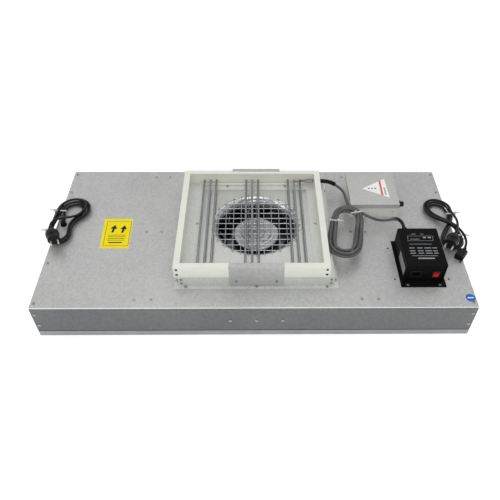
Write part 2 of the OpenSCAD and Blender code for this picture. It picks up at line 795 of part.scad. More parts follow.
// Two ball bearings: an outer ring, an inner ring and nine balls each
module motor_bearings() {
    middle = (bearing_r + shaft_r) / 2;
    ball = (bearing_r - shaft_r) / 2 - 1.8;
    color("silver") at_fan() for (z = [beam_top + 3, rotor_top - 17 - bearing_h]) translate([0, 0, z]) {
        rotate_extrude() translate([bearing_r - 1.8, 0]) square([1.8, bearing_h]);
        rotate_extrude() translate([shaft_r + 0.03, 0]) square([1.8, bearing_h]);
        for (k = [0:8]) rotate([0, 0, 40 * k]) translate([middle, 0, bearing_h / 2])
            sphere(r = ball - 0.1);
    }
}

// Folded cross beam from the front wall to the back wall
module motor_beam() {
    reach = casing_d / 2 - sheet_t;
    rise = 20;
    drop = 6;
    color(steel) difference() {
        union() {
            plate([inlet_x - beam_w / 2, -reach, beam_top - beam_t],
                [inlet_x + beam_w / 2, reach, beam_top]);
            for (end = [0, 1]) mirror([0, end, 0])
                plate([inlet_x - beam_w / 2, -reach, beam_top - beam_t],
                      [inlet_x + beam_w / 2, -reach + beam_t, beam_top + rise]);
            for (side = [-1, 1])
                plate([inlet_x + side * (beam_w / 2 - beam_t / 2) - beam_t / 2, -reach, beam_top - drop],
                      [inlet_x + side * (beam_w / 2 - beam_t / 2) + beam_t / 2, reach, beam_top]);
        }
        for (end = [0, 1]) mirror([0, end, 0]) beam_rivet_places() hole();
        at_fan() {
            translate([0, 0, beam_top - 5]) cylinder(h = 10, r = 15);
            for (k = [0:3]) rotate([0, 0, 90 * k + 45]) translate([46, 0, beam_top]) hole(d = 5);
        }
    }
}

module motor_screws() {
    color(bright) at_fan() for (k = [0:3]) rotate([0, 0, 90 * k + 45])
        translate([46, 0, beam_top + base_t]) pan_screw(length = 9, d = 5);
}

// Ioniser frame

module at_frame() { translate([frame_x, frame_y, 0]) children(); }

module bar_screw_places() {
    for (side = [-1, 1], z = bar_screw_z) translate([side * bar_screw_x, -frame_d / 2, z])
        rotate([90, 0, 0]) children();
}

module rod_places(offsets) {
    for (group = [-1:1], dx = offsets) translate([group * emitter_pitch + dx, 0, rod_z])
        rotate([90, 0, 0]) children();
}

// A full-width bar with blind holes for the rods and counterbored screw holes
module long_bar() {
    difference() {
        plate([-frame_w / 2, -frame_d / 2, bar_z], [frame_w / 2, -frame_d / 2 + bar_t, bar_z + bar_h]);
        rod_places([-rod_offset, 0, rod_offset])
            cylinder(h = 2 * (frame_in_d / 2 + rod_sink + 0.5), r = rod_d / 2 + fit, center = true);
        bar_screw_places() {
            hole(h = 4 * bar_t);
            translate([0, 0, -4.2]) cylinder(h = 10, r = 3.8);
        }
    }
}

// A side bar between the two long ones
module short_bar() {
    difference() {
        plate([-frame_w / 2, -frame_in_d / 2, bar_z],
            [-frame_w / 2 + bar_t, frame_in_d / 2, bar_z + bar_h]);
        for (end = [0, 1]) mirror([0, end, 0]) bar_screw_places() hole(h = 4 * bar_t + 30);
    }
}

module bar_front() { color(white) at_frame() long_bar(); }

module bar_back() { color(white) at_frame() mirror([0, 1, 0]) long_bar(); }

module bar_left() { color(white) at_frame() short_bar(); }

module bar_right() {
    color(white) difference() {
        at_frame() mirror([1, 0, 0]) short_bar();
        translate([frame_right - bar_t - 1, cable_exit[1], top + cable_exit[2]])
            rotate([0, 90, 0]) cylinder(h = bar_t + 2, r = sleeve_d / 2 + 0.7);
    }
}

module bar_screws() {
    color(black) at_frame() for (end = [0, 1]) mirror([0, end, 0]) bar_screw_places() {
        difference() {
            translate([0, 0, -4.2]) cylinder(h = 4, r = 3.5);
            translate([0, 0, -2.2]) cylinder(h = 4, r = 1.7, $fn = 6);
        }
        translate([0, 0, -34]) cylinder(h = 30, d = screw_d);
    }
}

// One clamp plate: hooked over a bar and flat against the inlet box
module clamp_plate(bar_y, box_y, hook) {
    outer = min(bar_y, box_y) - clamp_t;
    difference() {
        union() {
            plate([inlet_x - clamp_w / 2, outer, top + 5],
                  [inlet_x + clamp_w / 2, outer + clamp_t, bar_z + bar_h + clamp_t]);
            plate([inlet_x - clamp_w / 2, outer, bar_z + bar_h],
                  [inlet_x + clamp_w / 2, bar_y + hook, bar_z + bar_h + clamp_t]);
        }
        at_clamp_screws() translate([0, outer, 0]) rotate([90, 0, 0]) hole();
    }
}

front_bar_y = frame_y - frame_d / 2;
front_box_y = inlet_y - box_d / 2;
back_bar_y = frame_y + frame_d / 2;
back_box_y = inlet_y + box_d / 2;
front_clamp_y = min(front_bar_y, front_box_y) - clamp_t;
back_clamp_y = max(back_bar_y, back_box_y) + clamp_t;

module clamp_plates() {
    color(steel) {
        clamp_plate(front_bar_y, front_box_y, front_hook);
        mirror([0, 1, 0]) clamp_plate(-back_bar_y, -back_box_y, 6);
    }
}

// Three emitter bars, each with a row of needles that point down into the air stream
module emitter_bars() {
    needles = 8;
    step = frame_in_d / needles;
    color("gainsboro") at_frame() {
        rod_places([0]) cylinder(h = frame_in_d + 2 * rod_sink, d = rod_d, center = true);
        for (group = [-1:1], k = [0:needles - 1])
            translate([group * emitter_pitch, -frame_in_d / 2 + (k + 0.4) * step, rod_z - rod_d / 2 - 4])
                cylinder(h = 5, r1 = 0.4, r2 = 1.3, $fn = 16);
    }
}

module ground_rods() {
    color(bright) at_frame() rod_places([-rod_offset, rod_offset])
        cylinder(h = frame_in_d + 2 * rod_sink, d = rod_d, center = true);
}

// White tube along the back bar that feeds the emitter bars through three risers
module bus_tube() {
    tube_d = 5;
    reach = emitter_pitch + 27;
    z = bar_z + 0.2 + tube_d / 2;
    y = frame_y + frame_in_d / 2 - 8;
    color(white) {
        translate([frame_x - reach, y, z]) rotate([0, 90, 0]) cylinder(h = 2 * reach - 12, d = tube_d);
        for (group = [-1:1]) translate([frame_x + group * emitter_pitch, y, z])
            cylinder(h = rod_z - rod_d / 2 - 0.2 - z, r = 1.5);
    }
}

// A ground wire and a high-voltage wire from the sleeve to the right-hand group
module ion_wires() {
    wire_d = 2.4;
    right = frame_x + emitter_pitch;
    over = rod_z + rod_d / 2 + wire_d / 2 + seat;
    x0 = frame_right - 7;
    y0 = cable_exit[1];
    z0 = top + cable_exit[2];
    color(black) tube_along([[x0, y0 + 2, z0 + 1.5], [184, 178, z0 + 1.5], [174, 179, z0 + 2],
        [163, 178, z0 + 3],
        [152, 177, over + 1], [right + rod_offset, 177, over]], wire_d);
    color("firebrick") tube_along([[x0, y0 - 2, z0 - 1.5], [184, 174, z0 - 1.5], [174, 170, z0],
        [162, 168, z0 + 2],
        [148, 168, over + 2], [136, 170, over + 1.5], [right, 172, over]], wire_d);
}

// Junction box

module junction_base() {
    w = junction_w - 2 * sheet_t - 0.4;
    d = junction_d - 2 * sheet_t - 0.4;
    color(steel) difference() {
        translate([junction_x + sheet_t + 0.2, junction_y + sheet_t + 0.2, top]) difference() {
            cube([w, d, junction_h - sheet_t]);
            translate([sheet_t, sheet_t, sheet_t]) cube([w - 2 * sheet_t, d - 2 * sheet_t, junction_h]);
        }
        at_junction_screws() hole();
        translate([junction_right, knob_y, knob_z]) rotate([0, 90, 0]) hole(d = 7);
        translate([junction_right - 10, switch_y - switch_w / 2 + 1.3, switch_z - switch_h / 2 + 1.3])
            cube([20, switch_w - 2.6, switch_h - 2.6]);
        translate([junction_right - 17, junction_y, top + 20]) rotate([90, 0, 0]) hole();
    }
}

// Lid with lips folded down outside the base, cut away round the knob and the switch
module junction_lid() {
    z0 = top + junction_h - lid_lip;
    color(steel) difference() {
        plate([junction_x, junction_y, z0], [junction_right, junction_y + junction_d, top + junction_h]);
        plate([junction_x + sheet_t, junction_y + sheet_t, z0 - 1],
              [junction_right - sheet_t, junction_y + junction_d - sheet_t, top + junction_h - sheet_t]);
        for (y = [knob_y, switch_y]) plate([junction_right - 5, y - 13, z0 - 1],
            [junction_right + 1, y + 13, top + 45]);
    }
}

// Knurled knob on its spindle, with a pointer line
module speed_knob() {
    skirt = 5;
    length = 15;
    color(black) translate([junction_right + 1.2, knob_y, knob_z]) rotate([0, 90, 0]) {
        difference() {
            union() {
                cylinder(h = skirt, d = knob_d);
                translate([0, 0, skirt - eps])
                    cylinder(h = length - skirt, d1 = knob_d - 3, d2 = knob_d - 5);
            }
            for (k = [0:11]) rotate([0, 0, 30 * k + 15]) translate([knob_d / 2 - 1.2, 0, skirt + 1])
                cylinder(h = length, r = 1.2, $fn = 16);
            translate([-knob_d / 2, -0.5, length - 0.6]) cube([knob_d / 2, 1, 1]);
        }
        translate([0, 0, -14]) cylinder(h = 14 + eps, r = 3);
    }
}

// Potentiometer behind the knob, on its own small board with a terminal block
module speed_control() {
    board_x = pot_x - pot_len - 19;
    color("seagreen") {
        translate([pot_x, knob_y, knob_z]) rotate([0, -90, 0]) difference() {
            cylinder(h = pot_len, r = 8.5);
            translate([0, 0, -1]) cylinder(h = pot_len + 2, r = 3.05);
        }
        plate([board_x, knob_y - 12, top + 5], [board_x + 20, knob_y + 40, top + 6.6]);
        plate([board_x + 17, knob_y - 7, top + 5], [board_x + 19, knob_y + 7, knob_z]);
        for (y = [knob_y - 8, knob_y + 36])
            translate([board_x + 4, y, top + sheet_t]) cylinder(h = 4, r = 2.5);
        plate([board_x + 3, knob_y + 8, top + 6.6], [board_x + 15, knob_y + 32, top + 18]);
    }
}

// Rocker switch housing: a bezel outside and a hollow body inside, with pin bores for the rocker
module rocker_housing(w, h, depth) {
    difference() {
        union() {
            plate([-w / 2, 0, -h / 2], [w / 2, 2, h / 2]);
            plate([-w / 2 + 1.6, -depth, -h / 2 + 1.6], [w / 2 - 1.6, 1, h / 2 - 1.6]);
        }
        plate([-w / 2 + 3, -depth + 2, -h / 2 + 3], [w / 2 - 3, 3, h / 2 - 3]);
        translate([0, -2, 0]) rotate([0, 90, 0]) cylinder(h = w - 3.4, r = 1 + 0.04, center = true);
    }
}

// Rocker with a shallow V face, pressed at its lower edge and turning on a pin along its width
module rocker(w, h) {
    half = h / 2 - 4.5;
    translate([0, -2, 0]) rotate([-rocker_tilt, 0, 0]) rotate([90, 0, 90]) {
        linear_extrude(w - 7, center = true)
            polygon([[-4, -half + 1], [2, -half], [5.5, -half], [3.6, 0],
                     [5.5, half], [2, half], [-4, half - 1]]);
        cylinder(h = w - 4, r = 1, center = true);
    }
}

module at_unit_switch() {
    translate([junction_right - 0.2 - eps, switch_y, switch_z]) rotate([0, 0, -90]) children();
}

module unit_switch() { color(black) at_unit_switch() rocker_housing(switch_w, switch_h, 12); }

module unit_rocker() { color(black) at_unit_switch() rocker(switch_w, switch_h); }

// High-voltage supply

// Base plate with the tray of the case welded on it
module supply_case() {
    z0 = supply_z;
    color(black) difference() {
        union() {
            plate([supply_x - 7, supply_y - 22, base_z],
                [supply_right + 6, supply_y + supply_d + 11, supply_z]);
            plate([supply_x + supply_t, front_y, z0],
                [supply_right - supply_t, front_y + supply_t, supply_top - supply_t]);
            plate([supply_x + supply_t, supply_y + supply_d - supply_t, z0],
                  [supply_right - supply_t, supply_y + supply_d, supply_top - supply_t]);
            plate([supply_x + supply_t, front_y, z0],
                [supply_right - supply_t, supply_y + supply_d, z0 + supply_t]);
        }
        at_supply_screws() hole();
        translate([socket_x - socket_w / 2, front_y - 1, socket_z - socket_h / 2])
            cube([socket_w, 4, socket_h]);
        translate([rocker_x - rocker_w / 2 - 1.4, front_y - 1, rocker_z - rocker_h / 2 - 1.4])
            cube([rocker_w + 2.8, 4, rocker_h + 2.8]);
        translate([gland_at[0], gland_at[1], top + gland_at[2]]) rotate([90, 0, 0]) hole(h = 8, d = 12);
    }
}

// Cover folded as an upside-down U over the tray, screwed at both sides
module supply_lid() {
    color(black) difference() {
        plate([supply_x, supply_y, supply_z], [supply_right, supply_y + supply_d, supply_top]);
        plate([supply_x + supply_t, supply_y - 1, supply_z - 1],
              [supply_right - supply_t, supply_y + supply_d + 1, supply_top - supply_t]);
        for (side = [0, 1], y = [supply_y + 25, supply_y + supply_d - 25])
            translate([side == 0 ? supply_x : supply_right, y, supply_z + 8]) rotate([0, 90, 0])
                hole(h = 8, d = 3);
    }
}

// Mains inlet with three pins standing in its recess
module supply_inlet() {
    recess_w = socket_w - 3;
    recess_h = socket_h - 3.5;
    color(black) translate([socket_x, front_y, socket_z]) {
        difference() {
            union() {
                plate([-socket_w / 2 - 2, -2, -socket_h / 2 - 2.3],
                    [socket_w / 2 + 2, 0, socket_h / 2 + 2.3]);
                plate([-socket_w / 2 + 0.2, -1, -socket_h / 2 + 0.2],
                    [socket_w / 2 - 0.2, 20, socket_h / 2 - 0.2]);
            }
            plate([-recess_w / 2, -3, -recess_h / 2], [recess_w / 2, 16, recess_h / 2]);
        }
        for (pin = [[-7, 0], [0, 3.5], [7, 0]])
            plate([pin[0] - 1, 4.5, pin[1] - 2], [pin[0] + 1, 17, pin[1] + 2]);
    }
}

module at_supply_switch() { translate([rocker_x, front_y, rocker_z]) rotate([0, 0, 180]) children(); }

module supply_switch() { color(black) at_supply_switch() rocker_housing(rocker_w + 6, rocker_h + 6, 16); }

module supply_rocker() { color("red") at_supply_switch() rocker(rocker_w + 6, rocker_h + 6); }

// Step-up transformer on its laminated core, with the circuit board beside it
module supply_transformer() {
    z0 = supply_z + supply_t;
    x0 = supply_x + 18;
    y0 = supply_y + 58;
    color("peru") {
        plate([x0, y0, z0], [x0 + 46, y0 + 16, z0 + 40]);
        plate([x0, y0 + 40, z0], [x0 + 46, y0 + 56, z0 + 40]);
        plate([x0 + 14, y0 + 16, z0], [x0 + 32, y0 + 40, z0 + 40]);
        plate([x0 + 3, y0 + 17, z0 + 3], [x0 + 43, y0 + 39, z0 + 37]);
        plate([x0 + 54, y0 - 6, z0 + 5], [x0 + 82, y0 + 60, z0 + 6.6]);
        for (y = [y0 - 2, y0 + 56]) translate([x0 + 68, y, z0]) cylinder(h = 5.5, r = 2.5);
        for (y = [y0 + 10, y0 + 30, y0 + 48]) translate([x0 + 66, y, z0 + 6]) cylinder(h = 20, r = 6.5);
    }
}

// Leads

// How far apart a hank's turns lie: looser towards its wide end
function left_spread(p) = 1 + 0.9 * max(0, min(1, (p[1] - 25) / 50));
function right_spread(p) = 1 + 0.6 * max(0, min(1, (p[1] - 30) / 40));

function flat_heading(ring, i) =
    let (before = ring[(i + len(ring) - 1) % len(ring)], after = ring[(i + 1) % len(ring)])
    unit([after[0] - before[0], after[1] - before[1]]);

// One side of a clockwise ring, moved outward
function ring_side(ring, out) =
    [for (i = [0:len(ring) - 1]) let (t = flat_heading(ring, i))
        [ring[i][0] - out[i] * t[1], ring[i][1] + out[i] * t[0]]];

// The bundle of turns that follows a clockwise ring
module bundle(ring, half) {
    linear_extrude(band_h) difference() {
        polygon(ring_side(ring, half));
        polygon(ring_side(ring, -1 * half));
    }
}

// Flat ring with straight sides and round ends, as a coil or a folded hank lies
module ring_outline(r_out, r_in, half) {
    difference() {
        for (end = [-1, 1]) {
            translate([end * half, 0]) circle(r = r_out);
            square([2 * half, 2 * r_out], center = true);
        }
        for (end = [-1, 1]) translate([end * half, 0]) circle(r = r_in);
        square([2 * half, 2 * r_in], center = true);
    }
}

module at_hv() { translate([hv_at[0], hv_at[1], box_top + 1.5]) rotate([0, 0, hv_turn]) children(); }

// Both sleeves of the high-voltage cable, its gland, and the elbow boot of the mains lead
module cable_bushings() {
    color(black) translate([0, 0, top]) {
        tube_along(concat([cable_exit - [6, 0, 0]], frame_sleeve), sleeve_d);
        tube_along(supply_sleeve, 10);
        translate(gland_at) rotate([-90, 0, 0]) {
            translate([0, 0, -4]) cylinder(h = 5, r = 6);
            cylinder(h = 7, r = 9.5, $fn = 6);
            translate([0, 0, 7 - eps]) cylinder(h = 5, r = 7.5);
        }
        translate([boot_at[0], boot_at[1], 0]) {
            translate([0, 0, -5]) cylinder(h = 6, r = 5);
            cylinder(h = 3, r = 9);
            cylinder(h = 11, r = 6.2);
            translate([0, 0, 11]) sphere(r = 7);
            translate([0, 0, 11]) rotate([-90, 0, 0]) cylinder(h = 12, r = 5.5);
        }
    }
}

module hv_cable() {
    color("gray") translate([0, 0, top]) {
        tube_along(upper_cable, cable_d);
        tube_along(lower_cable, cable_d);
    }
}

// It rests on the edge of the inlet box, between the frame and the junction box
module hv_coil() {
    color("gray") at_hv() linear_extrude(hv_ring[3]) ring_outline(hv_ring[1], hv_ring[0], hv_ring[2]);
}

module left_cable() {
    color(black) translate([0, 0, top]) {
        tube_along(left_tail, lead_d);
        tube_along(left_loop, lead_d);
    }
}

module left_coil() {
    half = [for (p = left_ring) left_spread(p) * band_w / 2];
    color(black) translate([0, 0, top + coil_lift]) bundle(left_ring, half);
}

module right_cable() {
    color(black) translate([0, 0, top]) {
        tube_along(right_tail, lead_d);
        tube_along(right_loop, lead_d);
    }
}

// The upper ring, the ring round the plug, and the crossing between them
module right_hank() {
    upper = [for (i = [0:10]) right_ring[i]];
    lower = [for (i = [len(right_ring) - 1:-1:11]) right_ring[i]];
    color(black) translate([0, 0, top + coil_lift]) {
        bundle(upper, [for (p = upper) right_spread(p) * band_w / 2]);
        bundle(lower, [for (p = lower) band_w / 2]);
        linear_extrude(crossing_h) polygon([[560, 26], [592, 0], [599, 8], [566, 40]]);
    }
}

// Round mains plug: a wide collar, the narrower part that enters the socket, pins and a strain relief
module round_plug() {
    r = 18.5;
    nose = 17;
    face = 39;
    color(black) {
        difference() {
            rotate_extrude() polygon([[0, 0], [11, 0], [r - 2.5, 4], [r, 9], [r, 20], [r - 0.8, 21.5],
                                      [nose, 21.5], [nose, face - 1], [nose - 1, face], [0, face]]);
            for (side = [-1, 1]) translate([0, side * (nose + 2.5), 24]) cylinder(h = 40, r = 5);
            for (side = [-1, 1]) translate([side * 9.5, 0, face - 2]) cylinder(h = 4, r = 3.4);
        }
        for (k = [0:3]) translate([0, 0, -3 - 4.5 * k]) cylinder(h = 3, r = 6.8 - 0.5 * k);
        translate([0, 0, -21]) cylinder(h = 21.5, r = 4.6);
    }
    color(bright) {
        for (side = [-1, 1]) translate([side * 9.5, 0, face - 6]) cylinder(h = 24, r = 2.4);
        for (side = [-1, 1]) translate([side * 9.5, 0, face + 18]) sphere(r = 2.4);
    }
}

module left_plug() {
    translate(left_plug_at + [0, 0, top]) rotate([0, 90, left_plug_turn]) rotate([0, 0, 90]) round_plug();
}

module right_plug() {
    translate(right_plug_at + [0, 0, top]) rotate([0, 90, right_plug_turn]) rotate([0, 0, 90])
        round_plug();
}

// Line connector: a tapering body with a socket face of three slots, and a strain relief
module right_connector() {
    color(black) translate(connector_at + [0, 0, top]) rotate([0, 90, connector_turn]) difference() {
        union() {
            linear_extrude(31)
                polygon([[-9, -10], [-9, 10], [-4, 13], [5, 13], [9, 9], [9, -9], [5, -13], [-4, -13]]);
            for (k = [0:2]) translate([0, 0, -3.5 - 4.5 * k]) cylinder(h = 3, r = 6.6 - 0.6 * k);
            translate([0, 0, -15]) cylinder(h = 16, r = 4.6);
        }
        for (slot = [[1, -7], [-3, 0], [1, 7]]) translate([slot[0] - 2.4, slot[1] - 1.2, 17])
            cube([4.8, 2.4, 20]);
    }
}

// A tie closed round a bundle w wide and h high, with its head on the side
module cable_tie(w, h) {
    t = 1.1;
    gap = 0.3;
    translate([0, 0, h / 2]) rotate([90, 0, 0]) {
        linear_extrude(4.6, center = true) difference() {
            square([w + 2 * (gap + t), h + 2 * (gap + t)], center = true);
            square([w + 2 * gap, h + 2 * gap], center = true);
        }
        translate([w / 2 - 4, h / 2 + gap, -3.5]) cube([7, 4.5, 7]);
        translate([w / 2 + 2, h / 2 + gap + 1.5, -2.2]) cube([12, 1.2, 4.4]);
    }
}

// A tie across one bundle, where the bundle heads along turn
module bundle_tie(at, turn, w, h) {
    translate([at[0], at[1], top + coil_lift]) rotate([0, 0, turn]) cable_tie(w, h);
}

module cable_ties() {
    hv_mid = (hv_ring[0] + hv_ring[1]) / 2;
    hv_w = hv_ring[1] - hv_ring[0];
    color(white) {
        at_hv() translate([26, hv_mid, 0]) rotate([0, 0, -90]) cable_tie(hv_w, hv_ring[3]);
        at_hv() translate([hv_ring[2], 0, 0]) rotate([0, 0, -62]) translate([hv_mid, 0, 0])
            rotate([0, 0, 180]) cable_tie(hv_w, hv_ring[3]);
        bundle_tie([-584.3, 76], 176, 34, band_h);
        bundle_tie([-596.2, -10], 180, 18.6, band_h);
        bundle_tie([591.6, 62], 6, 28, band_h);
        bundle_tie([600.8, -33], -5, 18.6, band_h);
    }
}

top_panel();
front_wall();
back_wall();
left_wall();
right_wall();
panel_stiffeners();
casing_screws();
casing_rivets();
filter_frame();
filter_media();
outlet_guard();
filter_gasket();
inlet_box();
inlet_plate();
inlet_ring();
inlet_guard();
impeller();
rotor_can();
rotor_magnets();
motor_shaft();
impeller_screws();
stator_core();
stator_windings();
motor_base();
motor_bearings();
motor_beam();
motor_screws();
bar_front();
bar_back();
bar_left();
bar_right();
bar_screws();
clamp_plates();
emitter_bars();
ground_rods();
bus_tube();
ion_wires();
junction_base();
junction_lid();
speed_knob();
speed_control();
unit_switch();
unit_rocker();
supply_case();
supply_lid();
supply_inlet();
supply_switch();
supply_rocker();
supply_transformer();
cable_bushings();
hv_cable();
hv_coil();
left_cable();
left_coil();
left_plug();
right_cable();
right_hank();
right_plug();
right_connector();
cable_ties();
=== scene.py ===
import json
import math
import bpy
import numpy as np
from mathutils import Matrix, Vector


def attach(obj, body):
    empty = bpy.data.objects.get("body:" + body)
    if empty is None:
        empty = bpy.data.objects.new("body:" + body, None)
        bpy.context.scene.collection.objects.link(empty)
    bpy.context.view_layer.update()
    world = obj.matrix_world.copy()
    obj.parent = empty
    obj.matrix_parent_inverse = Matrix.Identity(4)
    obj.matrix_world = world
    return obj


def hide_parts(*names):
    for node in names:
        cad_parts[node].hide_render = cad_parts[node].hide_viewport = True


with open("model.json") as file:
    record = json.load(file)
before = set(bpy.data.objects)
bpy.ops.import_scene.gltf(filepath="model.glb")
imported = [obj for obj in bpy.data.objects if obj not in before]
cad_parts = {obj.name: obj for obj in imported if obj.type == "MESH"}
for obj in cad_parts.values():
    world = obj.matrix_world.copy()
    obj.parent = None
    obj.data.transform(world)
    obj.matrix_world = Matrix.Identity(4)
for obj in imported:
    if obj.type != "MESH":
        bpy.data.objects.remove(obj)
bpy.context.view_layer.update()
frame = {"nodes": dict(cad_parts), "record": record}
nodes = frame["nodes"]
mm = 0.001
metre = 1000  # in mm
# heights of the top panel, the junction box's lid and the supply's top, in mm
panelTop, lidTop, supplyTop = 116.0, 165.0, 178.0
print("frame loaded:", len(nodes), "pieces")


def addObject(name, data):
    made = bpy.data.objects.new(name, data)
    bpy.context.scene.collection.objects.link(made)
    return made


def addMesh(name, points, faces):
    # points in mm
    mesh = bpy.data.meshes.new(name)
    mesh.from_pydata((points * mm).tolist(), [], faces)
    mesh.update()
    return addObject(name, mesh)


# the camera stands in front of the unit and above it: place in mm, angles in radians
camera = {"place": (-0.33, -1200.18, 1251.95), "yaw": 0.02366006, "pitch": 0.82724212,
          "roll": -0.01506259, "lens": 40.212, "sensor": 36.0, "shift": (-0.0277, 0.0415),
          "farthest": 50}


def makeCamera(spec):
    yaw, pitch, roll = spec["yaw"], spec["pitch"], spec["roll"]
    forward = Vector((math.sin(yaw) * math.cos(pitch), math.cos(yaw) * math.cos(pitch),
                      -math.sin(pitch)))
    right = Vector((math.cos(yaw), -math.sin(yaw), 0))
    down = forward.cross(right)
    across = right * math.cos(roll) + down * math.sin(roll)
    below = down * math.cos(roll) - right * math.sin(roll)
    data = bpy.data.cameras.new("camera")
    data.lens, data.sensor_width = spec["lens"], spec["sensor"]
    data.shift_x, data.shift_y = spec["shift"]
    data.clip_end = spec["farthest"]
    eye = addObject("camera", data)
    turn = Matrix((across, -below, -forward)).transposed().to_4x4()
    eye.matrix_world = Matrix.Translation(Vector(spec["place"]) * mm) @ turn
    bpy.context.scene.camera = eye


makeCamera(camera)


# cords: each runs along its route, then round its hank or coil, at its whole length
def evenly(points, at, lengths):
    return np.stack([np.interp(at, lengths, points[:, axis]) for axis in range(3)], axis=1)


def runningLength(points):
    return np.r_[0, np.cumsum(np.linalg.norm(np.diff(points, axis=0), axis=1))]


def smoothLine(points, step=3.5, rounds=3, passes=6):
    # straight lines between the points, cut into equal steps, then each point moved
    # towards the middle of its neighbours a few times
    points = np.asarray(points, float)
    for k in range(rounds):
        lengths = runningLength(points)
        count = max(4, int(lengths[-1] / step) + 1)
        points = evenly(points, np.linspace(0, lengths[-1], count), lengths)
        for turn in range(passes):
            points[1:-1] = 0.5 * points[1:-1] + 0.25 * (points[:-2] + points[2:])
    return points


def smoothRing(points, count=240, rounds=3, passes=9):
    # the same for a closed line, whose last point joins its first
    points = np.asarray(points, float)
    for k in range(rounds):
        loop = np.vstack([points, points[:1]])
        lengths = runningLength(loop)
        points = evenly(loop, np.linspace(0, lengths[-1], count, endpoint=False), lengths)
        for turn in range(passes):
            beside = np.roll(points, 1, axis=0) + np.roll(points, -1, axis=0)
            points = 0.5 * points + 0.25 * beside
    return points


def windTurns(spec, perTurn=120, easing=0.2):
    # the ring walked round and round. In turn k the cord keeps lane k: a distance out from the
    # ring and a height. In the last part of each turn, its easing share, it goes over to the
    # next lane by 3t^2 - 2t^3. The lanes lie wider apart beyond one place on Y
    ring = smoothRing([list(point) + [0] * (3 - len(point)) for point in spec["ring"]])
    following = np.roll(ring, -1, axis=0)
    heading = (following - np.roll(ring, 1, axis=0))[:, :2]
    heading /= np.linalg.norm(heading, axis=1)[:, None]
    area = (ring[:, 0] * following[:, 1] - ring[:, 1] * following[:, 0]).sum()
    outward = np.stack([heading[:, 1], -heading[:, 0]], axis=1) * (1 if area > 0 else -1)
    first, last = spec["turns"]
    walked = np.linspace(first, last, int((last - first) * perTurn) + 1)
    lanes = np.asarray(spec["lanes"], float)
    share = walked % 1
    t = np.clip((share - (1 - easing)) / easing, 0, 1)
    lane = np.clip(np.floor(walked) + t * t * (3 - 2 * t), 0, len(lanes) - 1)
    out = np.interp(lane, np.arange(len(lanes)), lanes[:, 0])
    height = np.interp(lane, np.arange(len(lanes)), lanes[:, 1])
    at = np.arange(len(ring) + 1) / len(ring)
    pick = lambda values: np.interp(share, at, np.append(values, values[0]))
    x, y, lift = pick(ring[:, 0]), pick(ring[:, 1]), pick(ring[:, 2])
    extra, start, full = spec["wider"]
    out = out * (1 + extra * np.clip((y - start) / (full - start), 0, 1))
    line = [x + out * pick(outward[:, 0]), y + out * pick(outward[:, 1]), height + lift]
    return np.stack(line, axis=1)


def stadium(centre, turned, radius, half):
    # two straight sides and two round ends, as points clockwise from the middle of one end
    points = []
    for side, angles in ((1, range(0, 91, 15)), (-1, range(90, 271, 15)), (1, range(270, 360, 15))):
        for angle in angles:
            a = math.radians(angle)
            points.append((side * half + radius * math.cos(a), radius * math.sin(a)))
    c, s = math.cos(math.radians(turned)), math.sin(math.radians(turned))
    return [(centre[0] + c * u + s * v, centre[1] + s * u - c * v) for u, v in points]


def makeCord(name, points, diameter, sides=14):
    # a circle carried along the line without twist, and closed by a flat cap at each end: each
    # ring's first axis is the one before it, turned by as much as the line turned
    ahead = np.gradient(points, axis=0)
    ahead /= np.linalg.norm(ahead, axis=1)[:, None]
    first = np.empty_like(points)
    first[0] = np.cross(ahead[0], (0.1, 0.2, 1.0))
    for k in range(1, len(points)):
        first[k] = first[k - 1] - ahead[k] * (first[k - 1] @ ahead[k])
        first[k] /= np.linalg.norm(first[k])
    second = np.cross(ahead, first / np.linalg.norm(first, axis=1)[:, None])
    a = np.linspace(0, 2 * math.pi, sides, endpoint=False)[None, :, None]
    around = np.cos(a) * first[:, None] + np.sin(a) * second[:, None]
    tube = points[:, None] + diameter / 2 * around
    row, side = np.arange(len(points) - 1)[:, None] * sides, np.arange(sides)[None]
    after = (side + 1) % sides
    quads = np.stack([row + side, row + after, row + sides + after, row + sides + side], axis=2)
    start = np.arange(sides)
    caps = [start[::-1].tolist(), (start + (len(points) - 1) * sides).tolist()]
    piece = addMesh(name, tube.reshape(-1, 3), quads.reshape(-1, 4).tolist() + caps)
    piece.data.shade_smooth()
    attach(piece, "housing")
    return piece, round(float(np.linalg.norm(np.diff(points * mm, axis=0), axis=1).sum()), 2)


# all in mm, heights above the panel. "turns" are the first and last turn walked on the ring,
# "lanes" pairs of distance out and height, and "wider" a share and where on Y it starts and ends
hvLead = {
    "sleeve": [[199, 176, 50], [212, 176.3, 50], [226, 177, 47.5], [239, 177.5, 42.5]],
    "upper": [[250, 176.5, 36.5], [260.5, 172.5, 31], [269.5, 165.5, 27], [275.5, 156, 25.5],
              [277.5, 144, 26], [278, 128, 28], [278, 110, 31], [278, 92, 35], [278.5, 76, 38.5],
              [282, 60, 40.5], [289, 45, 41.3]],
    "lower": [[299, 40, 50], [312, 31.5, 47.5], [328, 25.5, 41.5], [345, 22.5, 33.5], [362, 21.5, 27],
              [378, 21, 25], [392, 21, 27.5], [405, 20, 32], [414, 15, 38], [420, 4, 44],
              [423.5, -10, 48], [425, -22, 49.5], [425, -40, 50]],
    "ring": stadium(centre=(260, -40), turned=79.4, radius=36.5, half=59),
    "turns": (0.075, 4.955), "diameter": 8,
    "lanes": [(7.7, 41.5), (-0.3, 40.7), (-7.5, 41.5), (-4.2, 49.3), (4.0, 48.9)],
    "wider": (0.3, -10, -70),
}

